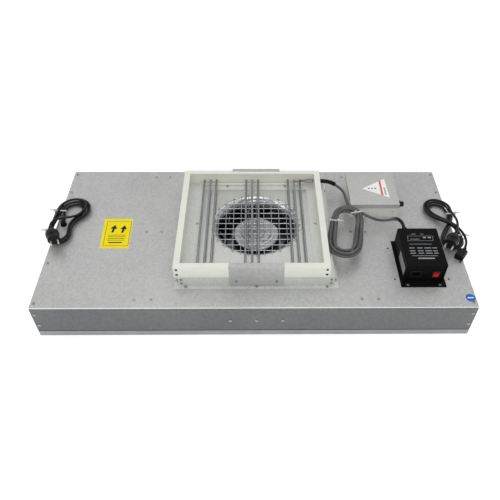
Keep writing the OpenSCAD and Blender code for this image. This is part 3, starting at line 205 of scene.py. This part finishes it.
leftLead = {
    "tail": [[-568, 43, 11], [-569, 50, 10.6], [-571, 58, 9.8], [-574, 68, 8.6]],
    "ring": [[-590, 38], [-586, 66], [-583, 101], [-569, 119], [-547, 126], [-525, 119], [-511, 101],
             [-510, 78], [-523, 59], [-541, 39], [-546, 18], [-543, -4], [-539, -23], [-543, -38],
             [-556, -49], [-572, -51], [-588, -43], [-597, -26], [-595, 8]],
    "loop": [[-516, 65, 20], [-526, 51, 20.6], [-541, 42, 22], [-558, 36, 25],
             [-573, 30, 28], [-585, 20, 31], [-591, 6, 34], [-590.5, -5, 35], [-587.8, -14.7, 35.2]],
    "turns": (0.12, 4.36), "diameter": 7,
    "lanes": [(-3.9, 6), (3.3, 6), (-1.2, 12.4), (5.8, 12.4), (1.6, 19)],
    "wider": (0.9, 25, 75),
}

rightLead = {
    "loop": [[600, -80, 9.3], [605, -72, 12], [608.5, -61, 16], [609, -49, 19.6], [607, -35, 21],
             [602, -21, 22], [595, -7, 24], [588, 5, 26]],
    "ring": [[558, 40, 6], [540, 62, 0], [528, 83, 0], [526, 101, 0], [535, 116, 0], [552, 124, 0],
             [573, 119, 0], [588, 100, 0], [593, 75, 0], [590, 50, 0], [581, 25, 0], [568, 4, 0],
             [556, -14, 0], [545, -37, 0], [545, -53, 0], [554, -68, 0], [569, -75, 0], [585, -73, 0],
             [598, -62, 0], [602, -46, 0], [600, -26, 0], [594, -6, 7], [579, 15, 14]],
    "tail": [[591, 84, 19.8], [593, 66, 20.4], [594.5, 48, 24], [595, 32, 29], [594.5, 16, 33],
             [593, 2, 35], [589.5, -14, 35.3], [585, -27, 35.2], [580, -37.6, 35.2]],
    "turns": (0.0, 3.33), "diameter": 7,
    "lanes": [(-3.4, 6), (3.7, 6), (-0.2, 12.3), (6, 12.4)],
    "wider": (0.6, 30, 70),
}


def cordLine(*parts):
    return smoothLine(np.vstack([np.asarray(part, float) for part in parts])) + (0, 0, panelTop)


def makeHvLead(spec):
    line = cordLine(spec["sleeve"], spec["upper"], windTurns(spec), spec["lower"])
    piece, length = makeCord("hvLead", line, spec["diameter"])
    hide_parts("hv_cable", "hv_coil")
    return piece


def makeLeftLead(spec):
    line = cordLine(spec["tail"], windTurns(spec), spec["loop"])
    piece, length = makeCord("leftLead", line, spec["diameter"])
    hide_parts("left_cable", "left_coil")
    return piece


def makeRightLead(spec):
    line = cordLine(spec["loop"], windTurns(spec), spec["tail"])
    piece, length = makeCord("rightLead", line, spec["diameter"])
    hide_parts("right_cable", "right_hank")
    return piece


cords = {"hv": makeHvLead(hvLead), "left": makeLeftLead(leftLead), "right": makeRightLead(rightLead)}
print("cords laid")


# materials: every pattern runs on real millimetres
def colour(code):
    # sRGB hex to linear
    parts = [int(code[k:k + 2], 16) / 255 for k in (1, 3, 5)]
    return tuple(c / 12.92 if c <= 0.04045 else ((c + 0.055) / 1.055) ** 2.4 for c in parts) + (1.0,)


def shade(tone, share):
    return tuple(min(1.0, c * share) for c in tone[:3]) + (1,)


def addNode(tree, kind, values=None, links=None, **settings):
    node = tree.nodes.new("ShaderNode" + kind)
    for key, value in settings.items():
        setattr(node, key, value)
    for key, value in (values or {}).items():
        node.inputs[key].default_value = value
    for key, source in (links or {}).items():
        tree.links.new(source, node.inputs[key])
    return node


def addMath(tree, operation, values=None, links=None):
    return addNode(tree, "Math", values, links, operation=operation).outputs[0]


def addNoise(tree, place, size, detail, **more):
    # soft cloudy patches of about the given size, in mm
    values = {"Scale": metre / size, "Detail": detail, **more}
    return addNode(tree, "TexNoise", values, {"Vector": place}).outputs["Fac"]


def startMaterial(name, **values):
    made = bpy.data.materials.new(name)
    made.use_nodes = True
    tree = made.node_tree
    shader = tree.nodes["Principled BSDF"]
    for key, value in values.items():
        shader.inputs[key.replace("_", " ")].default_value = value
    return made, tree, shader, addNode(tree, "TexCoord").outputs["Object"]


def mixColours(tree, share, first, second, low=0.0, high=1.0):
    # two colours mixed by a pattern's share, which runs from low to high
    ramp = addNode(tree, "ValToRGB", links={"Fac": share})
    for element, tone, position in zip(ramp.color_ramp.elements, (first, second), (low, high)):
        element.color, element.position = tone, position
    return ramp.outputs["Color"]


def roughFrom(tree, shader, share, low, high, least=0.03):
    gloss = addNode(tree, "MapRange", {"To Min": max(least, low), "To Max": high}, {"Value": share})
    tree.links.new(gloss.outputs[0], shader.inputs["Roughness"])


def bumpFrom(tree, shader, height, strength, depth):
    bump = addNode(tree, "Bump", {"Strength": strength, "Distance": depth}, {"Height": height})
    tree.links.new(bump.outputs["Normal"], shader.inputs["Normal"])


def sheetMetal(name, light, dark, rough=0.42, crystal=5.0, metal=0.85, bright=None, spark=0.09,
               cloudPatch=170, scuffs=(30, 700, 700)):
    # hot-dip galvanised steel: frosty grey, with flat crystals that each shine a little
    # differently, a slow cloudiness from the bath, and thin scuffs along the rolling direction,
    # given per metre on each axis. Where bright gives an axis and two places on it, in mm, the
    # sheet between them is painted twice as light: a painted highlight along the fold
    made, tree, shader, place = startMaterial(name, Metallic=metal, Roughness=rough)
    cells = addNode(tree, "TexVoronoi", {"Scale": metre / crystal, "Randomness": 1.0},
                    {"Vector": place})
    grey = addNode(tree, "RGBToBW", links={"Color": cells.outputs["Color"]}).outputs[0]
    cloud = addNoise(tree, place, cloudPatch, 4.0, Roughness=0.6)
    cloudShare = addMath(tree, "MULTIPLY", {1: 0.55}, {0: cloud})
    share = addMath(tree, "MULTIPLY_ADD", {1: 0.45}, {0: grey, 2: cloudShare})
    tone = mixColours(tree, share, dark, light, 0.32, 0.68)
    # painted highlight: a band of the sheet painted twice as light, for the shine along a fold
    if bright:
        axis, low, high = bright
        along = addNode(tree, "SeparateXYZ", links={"Vector": place}).outputs[axis]
        above = addMath(tree, "GREATER_THAN", {1: low * mm}, {0: along})
        below = addMath(tree, "LESS_THAN", {1: high * mm}, {0: along})
        inside = addMath(tree, "MULTIPLY", links={0: above, 1: below})
        tone = addNode(tree, "MixRGB", {"Color2": shade(light, 2.0)},
                       {"Fac": inside, "Color1": tone}).outputs[0]
    tree.links.new(tone, shader.inputs["Base Color"])
    roughFrom(tree, shader, share, rough - spark, rough + spark)
    stretched = addNode(tree, "Mapping", {"Scale": scuffs}, {"Vector": place}).outputs[0]
    bumpFrom(tree, shader, addNoise(tree, stretched, metre, 3.0), 0.06, 0.0002)
    return made


def grainy(name, base, metal=0.0, rough=0.5, grit=1.0, strength=0.1, depth=0.0002, spread=0.08,
           patch=40, **values):
    # a plain finish: a faint cloudiness of the given patch, and a fine grit, both in mm
    made, tree, shader, place = startMaterial(name, Metallic=metal, Roughness=rough, **values)
    cloud = addNoise(tree, place, patch, 4.0)
    tone = mixColours(tree, cloud, shade(base, 1 - spread), shade(base, 1 + spread), 0.3, 0.7)
    tree.links.new(tone, shader.inputs["Base Color"])
    roughFrom(tree, shader, cloud, rough - 0.06, rough + 0.06)
    bumpFrom(tree, shader, addNoise(tree, place, grit, 3.0), strength, depth)
    return made


fanCentre = (4, -2)  # the fan's axis on the panel, in mm


def spunMetal(name, base, rough=0.2, groove=2.2, low=0.86, ridge=0.25, wide=25):
    # metal spun on a lathe: fine rings round the fan's axis left by the roller, and wider ones
    # that are a little darker. Groove and wide are their sizes, in mm
    made, tree, shader, place = startMaterial(name, Metallic=1.0, Roughness=rough)
    shift = (-fanCentre[0] * mm, -fanCentre[1] * mm, 0)
    centred = addNode(tree, "Mapping", {"Location": shift}, {"Vector": place})
    parts = addNode(tree, "SeparateXYZ", links={"Vector": centred.outputs[0]}).outputs
    flat = addNode(tree, "CombineXYZ", links={"X": parts["X"], "Y": parts["Y"]})
    far = addNode(tree, "VectorMath", links={0: flat.outputs[0]}, operation="LENGTH")
    along = addNode(tree, "CombineXYZ", links={"X": far.outputs["Value"], "Y": parts["Z"]}).outputs[0]
    rings = addNoise(tree, along, groove, 3.0)
    tone = mixColours(tree, addNoise(tree, along, wide, 2.0), shade(base, low), base, 0.3, 0.7)
    tree.links.new(tone, shader.inputs["Base Color"])
    roughFrom(tree, shader, rings, rough - 0.08, rough + 0.12)
    bumpFrom(tree, shader, rings, ridge, 0.0001 * groove)
    return made


def jacket(name, base, rough, rubbed=30, wave=5):
    # extruded cable jacket: smooth along its length, with a soft waviness and rubbed, duller
    # patches, both in mm
    made, tree, shader, place = startMaterial(name, Roughness=rough, Specular_IOR_Level=0.35)
    rub = addNoise(tree, place, rubbed, 5.0)
    tone = mixColours(tree, rub, shade(base, 0.82), shade(base, 1.25), 0.3, 0.72)
    tree.links.new(tone, shader.inputs["Base Color"])
    roughFrom(tree, shader, rub, rough - 0.08, rough + 0.12)
    bumpFrom(tree, shader, addNoise(tree, place, wave, 2.0), 0.12, 0.0004)
    return made


def twoWires(name, front, rear, split, grit=1.5):
    # the two insulated wires on the rods: one colour in front of the split, the other behind it
    made, tree, shader, place = startMaterial(name, Roughness=0.35)
    along = addNode(tree, "SeparateXYZ", links={"Vector": place}).outputs["Y"]
    behind = addMath(tree, "GREATER_THAN", {1: split * mm}, {0: along})
    tree.links.new(mixColours(tree, behind, front, rear), shader.inputs["Base Color"])
    bumpFrom(tree, shader, addNoise(tree, place, grit, 2.0), 0.08, 0.0002)
    return made


def woven(name, base, rough=0.9, fibre=2.4):
    # wet-laid glass paper: matt, with short fibres lying every way
    made, tree, shader, place = startMaterial(name, Roughness=rough, Specular_IOR_Level=0.2)
    fibres = addNoise(tree, place, fibre, 6.0, Distortion=1.5)
    tone = mixColours(tree, fibres, shade(base, 0.86), shade(base, 1.05), 0.3, 0.7)
    tree.links.new(tone, shader.inputs["Base Color"])
    bumpFrom(tree, shader, fibres, 0.4, 0.0004)
    return made


finishes = {
    # galvanised sheet from the mill: pale frosted top; the walls folded down are the same sheet painted
    # greyer, as painted shade
    "galvanised_sheet": sheetMetal("galvanisedSteel", colour("#c0c1bf"), colour("#aeafad"),
                                   0.42, metal=0.4),
    "galvanised_dark": sheetMetal("galvanisedSteelFolded", colour("#747575"), colour("#666768"),
                                  0.46),
    # bright zinc plate on screws and rivets: mirror-like with a yellow tinge
    "zinc_screws": grainy("zincPlatedSteel", colour("#a5a49e"), 1.0, 0.24, 0.5),
    # extruded aluminium: dull silver with fine die lines
    "aluminium_extrusion": grainy("extrudedAluminium", colour("#9fa0a1"), 1.0, 0.38, 0.6),
    # pleated glass paper: matt off-white with a fibrous grain
    "filter_paper": woven("glassFibrePaper", colour("#efeeea")),
    # baked enamel on wire: white, half gloss, a little orange peel
    "white_enamel": grainy("bakedEnamel", colour("#e9e9e6"), 0.0, 0.4, 1.2, 0.15),
    # closed-cell foam: matt dark grey with small pores
    "grey_foam": grainy("closedCellFoam", colour("#55585a"), 0.0, 0.95, 0.9, 0.5, 0.0005),
    # spun aluminium bell mouth: bright silver, its shine drawn out into rings
    "spun_aluminium": spunMetal("spunAluminium", colour("#c4c5c6"), 0.2),
    # drawn and welded wire: bright silver with faint streaks
    "wire": grainy("drawnSteelWire", colour("#c4c7c9"), 1.0, 0.3, 0.4),
    # formed aluminium blades: painted mid grey as painted shade for the throat, with a softer shine
    # than the mouth
    "impeller_aluminium": spunMetal("formedAluminium", colour("#7c7e7f"), 0.32, 3.0),
    # ferrite: dark, matt, like fired clay
    "magnet": grainy("sinteredFerrite", colour("#3a3a3c"), 0.3, 0.6, 0.8),
    # ground and polished steel: near mirror
    "ground_steel": grainy("groundSteel", colour("#cfd0d1"), 1.0, 0.15, 0.3),
    # varnished laminations: dark grey with a thin shine
    "lamination": grainy("laminatedSteel", colour("#6b6b6c"), 0.9, 0.5, 0.5),
    # enamelled copper wire: orange brown under clear varnish
    "copper": grainy("enamelledCopper", colour("#a85a2c"), 0.9, 0.35, 0.5),
    # die-cast aluminium: dull grey skin with flow marks
    "cast_aluminium": grainy("dieCastAluminium", colour("#a9abad"), 0.9, 0.5, 0.8),
    # machined acetal: opaque white, soft shine from the cutter
    "white_plastic": grainy("machinedAcetal", colour("#e3e4da"), 0.0, 0.38, 0.9, 0.06,
                            spread=0.02, Specular_IOR_Level=0.4),
    # black oxide screws: blue-black with an oily shine
    "black_screws": grainy("blackOxideSteel", colour("#17171a"), 0.5, 0.4, 0.4),
    # moulded ABS of the emitters: mid grey, fine moulding texture
    "emitter_grey": grainy("greyAbs", colour("#85888a"), 0.0, 0.4, 0.7, 0.12),
    # drawn stainless rod: silver with lengthwise shine
    "steel_rod": grainy("drawnStainless", colour("#9b9d9d"), 1.0, 0.2, 0.4),
    # silicone insulation: dark red in front and black behind, with a soft shine
    "wire_insulation": twoWires("siliconeInsulation", colour("#6d1f1b"), colour("#161517"),
                                split=175.7),
    # moulded ABS of knobs and switches: black with spark texture
    "black_plastic": grainy("blackAbs", colour("#141416"), 0.0, 0.42, 0.8, 0.15,
                            Specular_IOR_Level=0.25),
    # green solder mask: half gloss over the tracks
    "circuit_board": grainy("solderMask", colour("#1f5a37"), 0.0, 0.35, 0.7),
    # black powder coat on the supply's case: low gloss orange peel
    "black_paint": grainy("blackPowderCoat", colour("#0c0c0d"), 0.0, 0.55, 1.3, 0.3, 0.0003,
                          0.15, 60, Specular_IOR_Level=0.08),
    # translucent red rocker: glossy
    "red_plastic": grainy("redPolycarbonate", colour("#c01d20"), 0.0, 0.2, 0.5, 0.02),
    # varnish-dipped transformer: brown, uneven
    "transformer": grainy("dippedVarnish", colour("#5b4c3d"), 0.2, 0.45, 0.8),
    # moulded PVC of plugs and bushes: satin black
    "black_rubber": grainy("blackPvc", colour("#0f0f10"), 0.0, 0.48, 0.7, 0.18,
                           Specular_IOR_Level=0.22),
    # PVC cable jackets: a long soft highlight along each strand, dark grey and black
    "grey_cable": jacket("greyPvcJacket", colour("#565757"), 0.32),
    "black_cable": jacket("blackPvcJacket", colour("#070708"), 0.27),
    # nylon ties: milky, slightly see-through
    "tie_nylon": grainy("naturalNylon", colour("#deddd6"), 0.0, 0.3, 0.6, 0.06,
                        Transmission_Weight=0.25),
}


def plugFinish(name, spec, grit=0.8):
    # a moulded plug with plated pins: everything further out along the plug than its face is metal
    made, tree, shader, place = startMaterial(name, Roughness=0.45, Specular_IOR_Level=0.3)
    angle = math.radians(spec["turn"])
    heading = (math.cos(angle), math.sin(angle), 0)
    face = (spec["at"][0] * heading[0] + spec["at"][1] * heading[1] + spec["face"]) * mm
    out = addNode(tree, "VectorMath", {1: heading}, {0: place}, operation="DOT_PRODUCT")
    pin = addMath(tree, "GREATER_THAN", {1: face}, {0: out.outputs["Value"]})
    tone = mixColours(tree, pin, colour("#0f0f10"), colour("#d3d1cb"))
    tree.links.new(tone, shader.inputs["Base Color"])
    tree.links.new(pin, shader.inputs["Metallic"])
    bumpFrom(tree, shader, addNoise(tree, place, grit, 3.0), 0.15, 0.0002)
    return made


# where each plug stands and the way it points, in mm and degrees, and how far out its face is
plugs = {
    "left_plug": {"at": (-579.4, -34), "turn": -66.4, "face": 39.2},
    "right_plug": {"at": (569, -55.5), "turn": -121.5, "face": 39.2},
}
# pieces that look different from the rest of their slot
own = {
    # moulded PVC with nickel-plated pins: satin black, bright tips
    "left_plug": plugFinish("leftPlugPvc", plugs["left_plug"]),
    "right_plug": plugFinish("rightPlugPvc", plugs["right_plug"]),
    # electro-galvanised junction box: brighter and more even than the casing. Its walls are the lid's
    # sheet painted much paler, as painted light on them
    "junction_lid": sheetMetal("electroGalvanisedSteel", colour("#c4c4c0"), colour("#b4b4b0"),
                               0.5, 3.0, 0.3),
    "junction_base": sheetMetal("electroGalvanisedSide", colour("#ecece7"), colour("#deded9"),
                                0.5, 3.0, 0.15),
    # bright plate round the mouth: smoother, with large faint crystals
    "inlet_plate": sheetMetal("brightGalvanisedPlate", colour("#c6c7c2"), colour("#bfc0bb"),
                              0.3, 7.0, 0.85, spark=0.03),
    # inlet box walls: the casing's sheet painted paler, as painted light on them, and dull, with hardly
    # any glint
    "inlet_box": sheetMetal("galvanisedSteelBox", colour("#d2d4cf"), colour("#c6c8c3"),
                            0.45, metal=0.15, spark=0.05),
    # top panel: frosted, with a painted highlight along the line where it folds down at the front
    "top_panel": sheetMetal("galvanisedSteelPanel", colour("#c2c3c1"), colour("#b2b3b1"),
                            0.4, metal=0.42, bright=("Y", -300, -286.3)),
    # the motor's can: spun aluminium with broad, strong rings
    "rotor_can": spunMetal("spunCan", colour("#b4b5b6"), 0.16, 9.0, 0.5, 1.0),
}
slotOf = {part["node"]: part["material_slot"] for part in frame["record"]["subparts"]}
for name, piece in nodes.items():
    piece.data.materials.clear()
    piece.data.materials.append(own.get(name, finishes[slotOf[name]]))
for key, slotName in (("hv", "grey_cable"), ("left", "black_cable"), ("right", "black_cable")):
    cords[key].data.materials.append(finishes[slotName])
print("materials given")


# labels: thin flat pieces with fields of colour and plain shapes
def flatPiece(name, outlines, low, high, place, finish):
    # each outline filled and given a thickness: the same ring at two heights with a band of sides
    vertices, faces, first = [], [], 0
    for outline in outlines:
        ring, count = np.asarray(outline, float), len(outline)
        vertices += [np.c_[ring, np.full(count, low)], np.c_[ring, np.full(count, high)]]
        index = first + np.arange(count)
        after = np.roll(index, -1)
        faces += [index[::-1].tolist(), (index + count).tolist()]
        faces += np.stack([index, after, after + count, index + count], axis=1).tolist()
        first += 2 * count
    place = np.array(place)
    piece = addMesh(name, np.vstack(vertices) @ place[:3, :3].T + place[:3, 3], faces)
    piece.data.materials.append(finish)
    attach(piece, "housing")


def rectangle(x0, y0, x1, y1):
    return [(x0, y0), (x1, y0), (x1, y1), (x0, y1)]


def disc(centre, radius, count=48):
    a = np.linspace(0, 2 * math.pi, count, endpoint=False)
    return np.stack([centre[0] + radius * np.cos(a), centre[1] + radius * np.sin(a)], axis=1)


def band(outline, width):
    # a line of the given width just inside each side of a four-cornered outline
    corners = np.asarray(outline, float)
    inner = corners + width * np.sign(corners.mean(axis=0) - corners)
    return [[corners[k], corners[(k + 1) % 4], inner[(k + 1) % 4], inner[k]] for k in range(4)]


def arrow(tip, base, width, head):
    # a plain arrow from its base to its tip: its shaft is a third as wide as its head
    tip, base = np.asarray(tip, float), np.asarray(base, float)
    along = (tip - base) / np.linalg.norm(tip - base)
    side = np.array([along[1], -along[0]]) * width
    neck = tip - along * head
    shaft = [base - side / 3, base + side / 3, neck + side / 3, neck - side / 3]
    return [shaft, [neck - side, neck + side, tip]]


def rows(xs, ys, tall):
    # plain bars: each row at its own height, each block from one x to the next
    return [rectangle(x0, y, x1, y + tall) for y in ys for x0, x1 in xs]


def onTop(height):
    return Matrix.Translation((0, 0, height))


def onLeftSide(x):
    # upright and facing left: a label's x runs towards the front and its y runs up
    return Matrix(((0, 0, -1, x), (-1, 0, 0, 0), (0, 1, 0, 0), (0, 0, 0, 1)))


inks = {
    # vinyl sheet: an even field with a soft shine
    "yellow": grainy("yellowVinyl", colour("#efdc10"), 0.0, 0.5, 0.9, 0.04, spread=0.03,
                     Specular_IOR_Level=0.15),
    "white": grainy("whiteVinyl", colour("#eeeeea"), 0.0, 0.4, 0.9, 0.04, spread=0.02),
    "blue": grainy("blueVinyl", colour("#1668c6"), 0.0, 0.3, 0.9, 0.04, spread=0.03,
                   Specular_IOR_Level=0.3),
    # screen ink: flat and duller than the sheet under it
    "dark": grainy("blackInk", colour("#1b1b19"), 0.0, 0.6, 0.9, 0.04, Specular_IOR_Level=0.2),
    "red": grainy("redInk", colour("#d2575a"), 0.0, 0.45, 0.9, 0.04),
    "silver": grainy("silverInk", colour("#9a9c9e"), 0.0, 0.5, 0.9, 0.04),
    "slate": grainy("slateInk", colour("#55585b"), 0.0, 0.5, 0.9, 0.04),
}
labels = {
    "flowLabel": {
        "place": onTop(panelTop), "paper": "yellow",
        "outline": [(-444, -67), (-362, -68), (-366, 58), (-451, 58)],
        "marks": [("slate", band([(-437, -57), (-364.5, -57), (-368.5, 46), (-441, 46)], 1.4)),
                  ("dark", arrow((-415, 31), (-419, -2), 10, 17) + arrow((-386, 29), (-390, -3), 10, 17)
                   + rows([(-428, -378)], (-14, -21, -28, -35), 1.8)
                   + rows([(-424, -384)], (-46,), 4))],
    },
    "roundLabel": {
        "place": onTop(panelTop), "paper": "blue", "outline": disc((573, -255), 13),
        # the white bar across the blue disc is a painted highlight
        "marks": [("white", [rectangle(565, -257, 581, -253)])],
    },
    "cornerLabel": {
        "place": onTop(lidTop), "paper": "white",
        "outline": [(328.9, 140.4), (407.0, 97.3), (404.2, 188.0)],
        "marks": [("red", [[(383.6, 110.4), (389.7, 107.1), (390.6, 179.4), (384.6, 175.6)]]),
                  ("slate", rows([(347, 352), (357, 362), (367, 372)], (139,), 5)
                   + rows([(395, 400)], (112, 121, 130, 139), 5))],
    },
    "supplyLabel": {
        "place": onTop(supplyTop),
        "marks": [("silver", band([(422, -102), (492, -102), (495, -82.5), (424, -82.5)], 0.8)
                   + rows([(466, 474), (480, 488)], (-91.5,), 5) + rows([(430, 456)], (-96,), 1.6)
                   + rows([(436, 448), (462, 470)], (-76,), 1.6) + rows([(423, 485)], (-115.5,), 1.2)
                   + rows([(420, 435), (442, 457), (462, 480), (484, 496)], (-131, -142, -151), 2.6)
                   + rows([(423, 492)], (-160,), 1.4) + rows([(437, 482)], (-171,), 4))],
    },
    "supplySideLabel": {
        "place": onLeftSide(402), "paper": "silver",
        "outline": rectangle(122, 133, 188, 160),
        "marks": [("slate", rows([(127, 150), (155, 183)], (138, 144, 150), 2)
                   + rows([(127, 183)], (155,), 1.6))],
    },
}
# how far a label stands off its surface, where it ends, and its print's thickness, all in mm
gap, skin, film = 0.02, 0.12, 0.06


def addLabel(name, spec):
    base = gap
    if "paper" in spec:
        flatPiece(name, [spec["outline"]], gap, skin, spec["place"], inks[spec["paper"]])
        base = skin
    for number, (ink, outlines) in enumerate(spec["marks"]):
        flatPiece(name + "Print%d" % number, outlines, base, base + film, spec["place"], inks[ink])


for name, spec in labels.items():
    addLabel(name, spec)
print("labels placed")

# floor and light: the floor's half width and drop in mm
ground = {"half": 12000, "drop": 0.5, "tone": "#f4f4f4", "glow": 0.45}


def makeFloor(spec):
    corners = np.array([(-1, -1), (1, -1), (1, 1), (-1, 1)]) * spec["half"]
    floor = addMesh("floor", np.c_[corners, np.full(4, -spec["drop"])], [(0, 1, 2, 3)])
    # pale matt paint with a little light of its own, so it stays near white
    floor.data.materials.append(grainy(
        "paleFloor", colour(spec["tone"]), 0.0, 0.9, 2.0, 0.0, spread=0.0,
        Emission_Color=(1, 1, 1, 1), Emission_Strength=spec["glow"], Specular_IOR_Level=0.1))


def addLamp(name, place, aim, size, power):
    data = bpy.data.lights.new(name, "AREA")
    data.shape, data.size, data.size_y = "RECTANGLE", size[0], size[1]
    data.energy = power
    lamp = addObject(name, data)
    lamp.location = place
    lamp.rotation_euler = (Vector(aim) - Vector(place)).to_track_quat("-Z", "Y").to_euler()


# brightness level with the unit, 45 degrees up (whose sine is about 0.7) and straight up
sky = {"horizon": 0.52, "middle": 0.68, "zenith": 0.90, "middleAt": 0.7, "blue": 1.01}
target = (0, 0, 0.1)
lamps = {
    "stripBack": {"place": (-0.5, 1.6, 2.2), "aim": target, "size": (2.4, 0.25), "power": 2.5},
    "front": {"place": (0.2, -2.6, 2.0), "aim": target, "size": (3.0, 0.9), "power": 16},
    "stripLeft": {"place": (-1.8, -0.2, 1.9), "aim": target, "size": (0.25, 1.6), "power": 6},
    "above": {"place": (0.3, 0.2, 2.8), "aim": target, "size": (1.2, 0.8), "power": 6},
}


def makeWorld(spec):
    world = bpy.data.worlds.new("studio")
    bpy.context.scene.world = world
    world.use_nodes = True
    tree = world.node_tree
    way = addNode(tree, "TexCoord").outputs["Generated"]
    up = addNode(tree, "SeparateXYZ", links={"Vector": way}).outputs["Z"]
    ramp = addNode(tree, "ValToRGB", links={"Fac": up})
    ramp.color_ramp.elements.new(spec["middleAt"])
    for element, key in zip(ramp.color_ramp.elements, ("horizon", "middle", "zenith")):
        element.color = (spec[key], spec[key], spec[key] * spec["blue"], 1)
    tree.links.new(ramp.outputs["Color"], tree.nodes["Background"].inputs["Color"])


makeFloor(ground)
makeWorld(sky)
for name, spec in lamps.items():
    addLamp(name, **spec)
bpy.context.scene.view_settings.view_transform = "Standard"
print("light set")

bpy.context.view_layer.update()
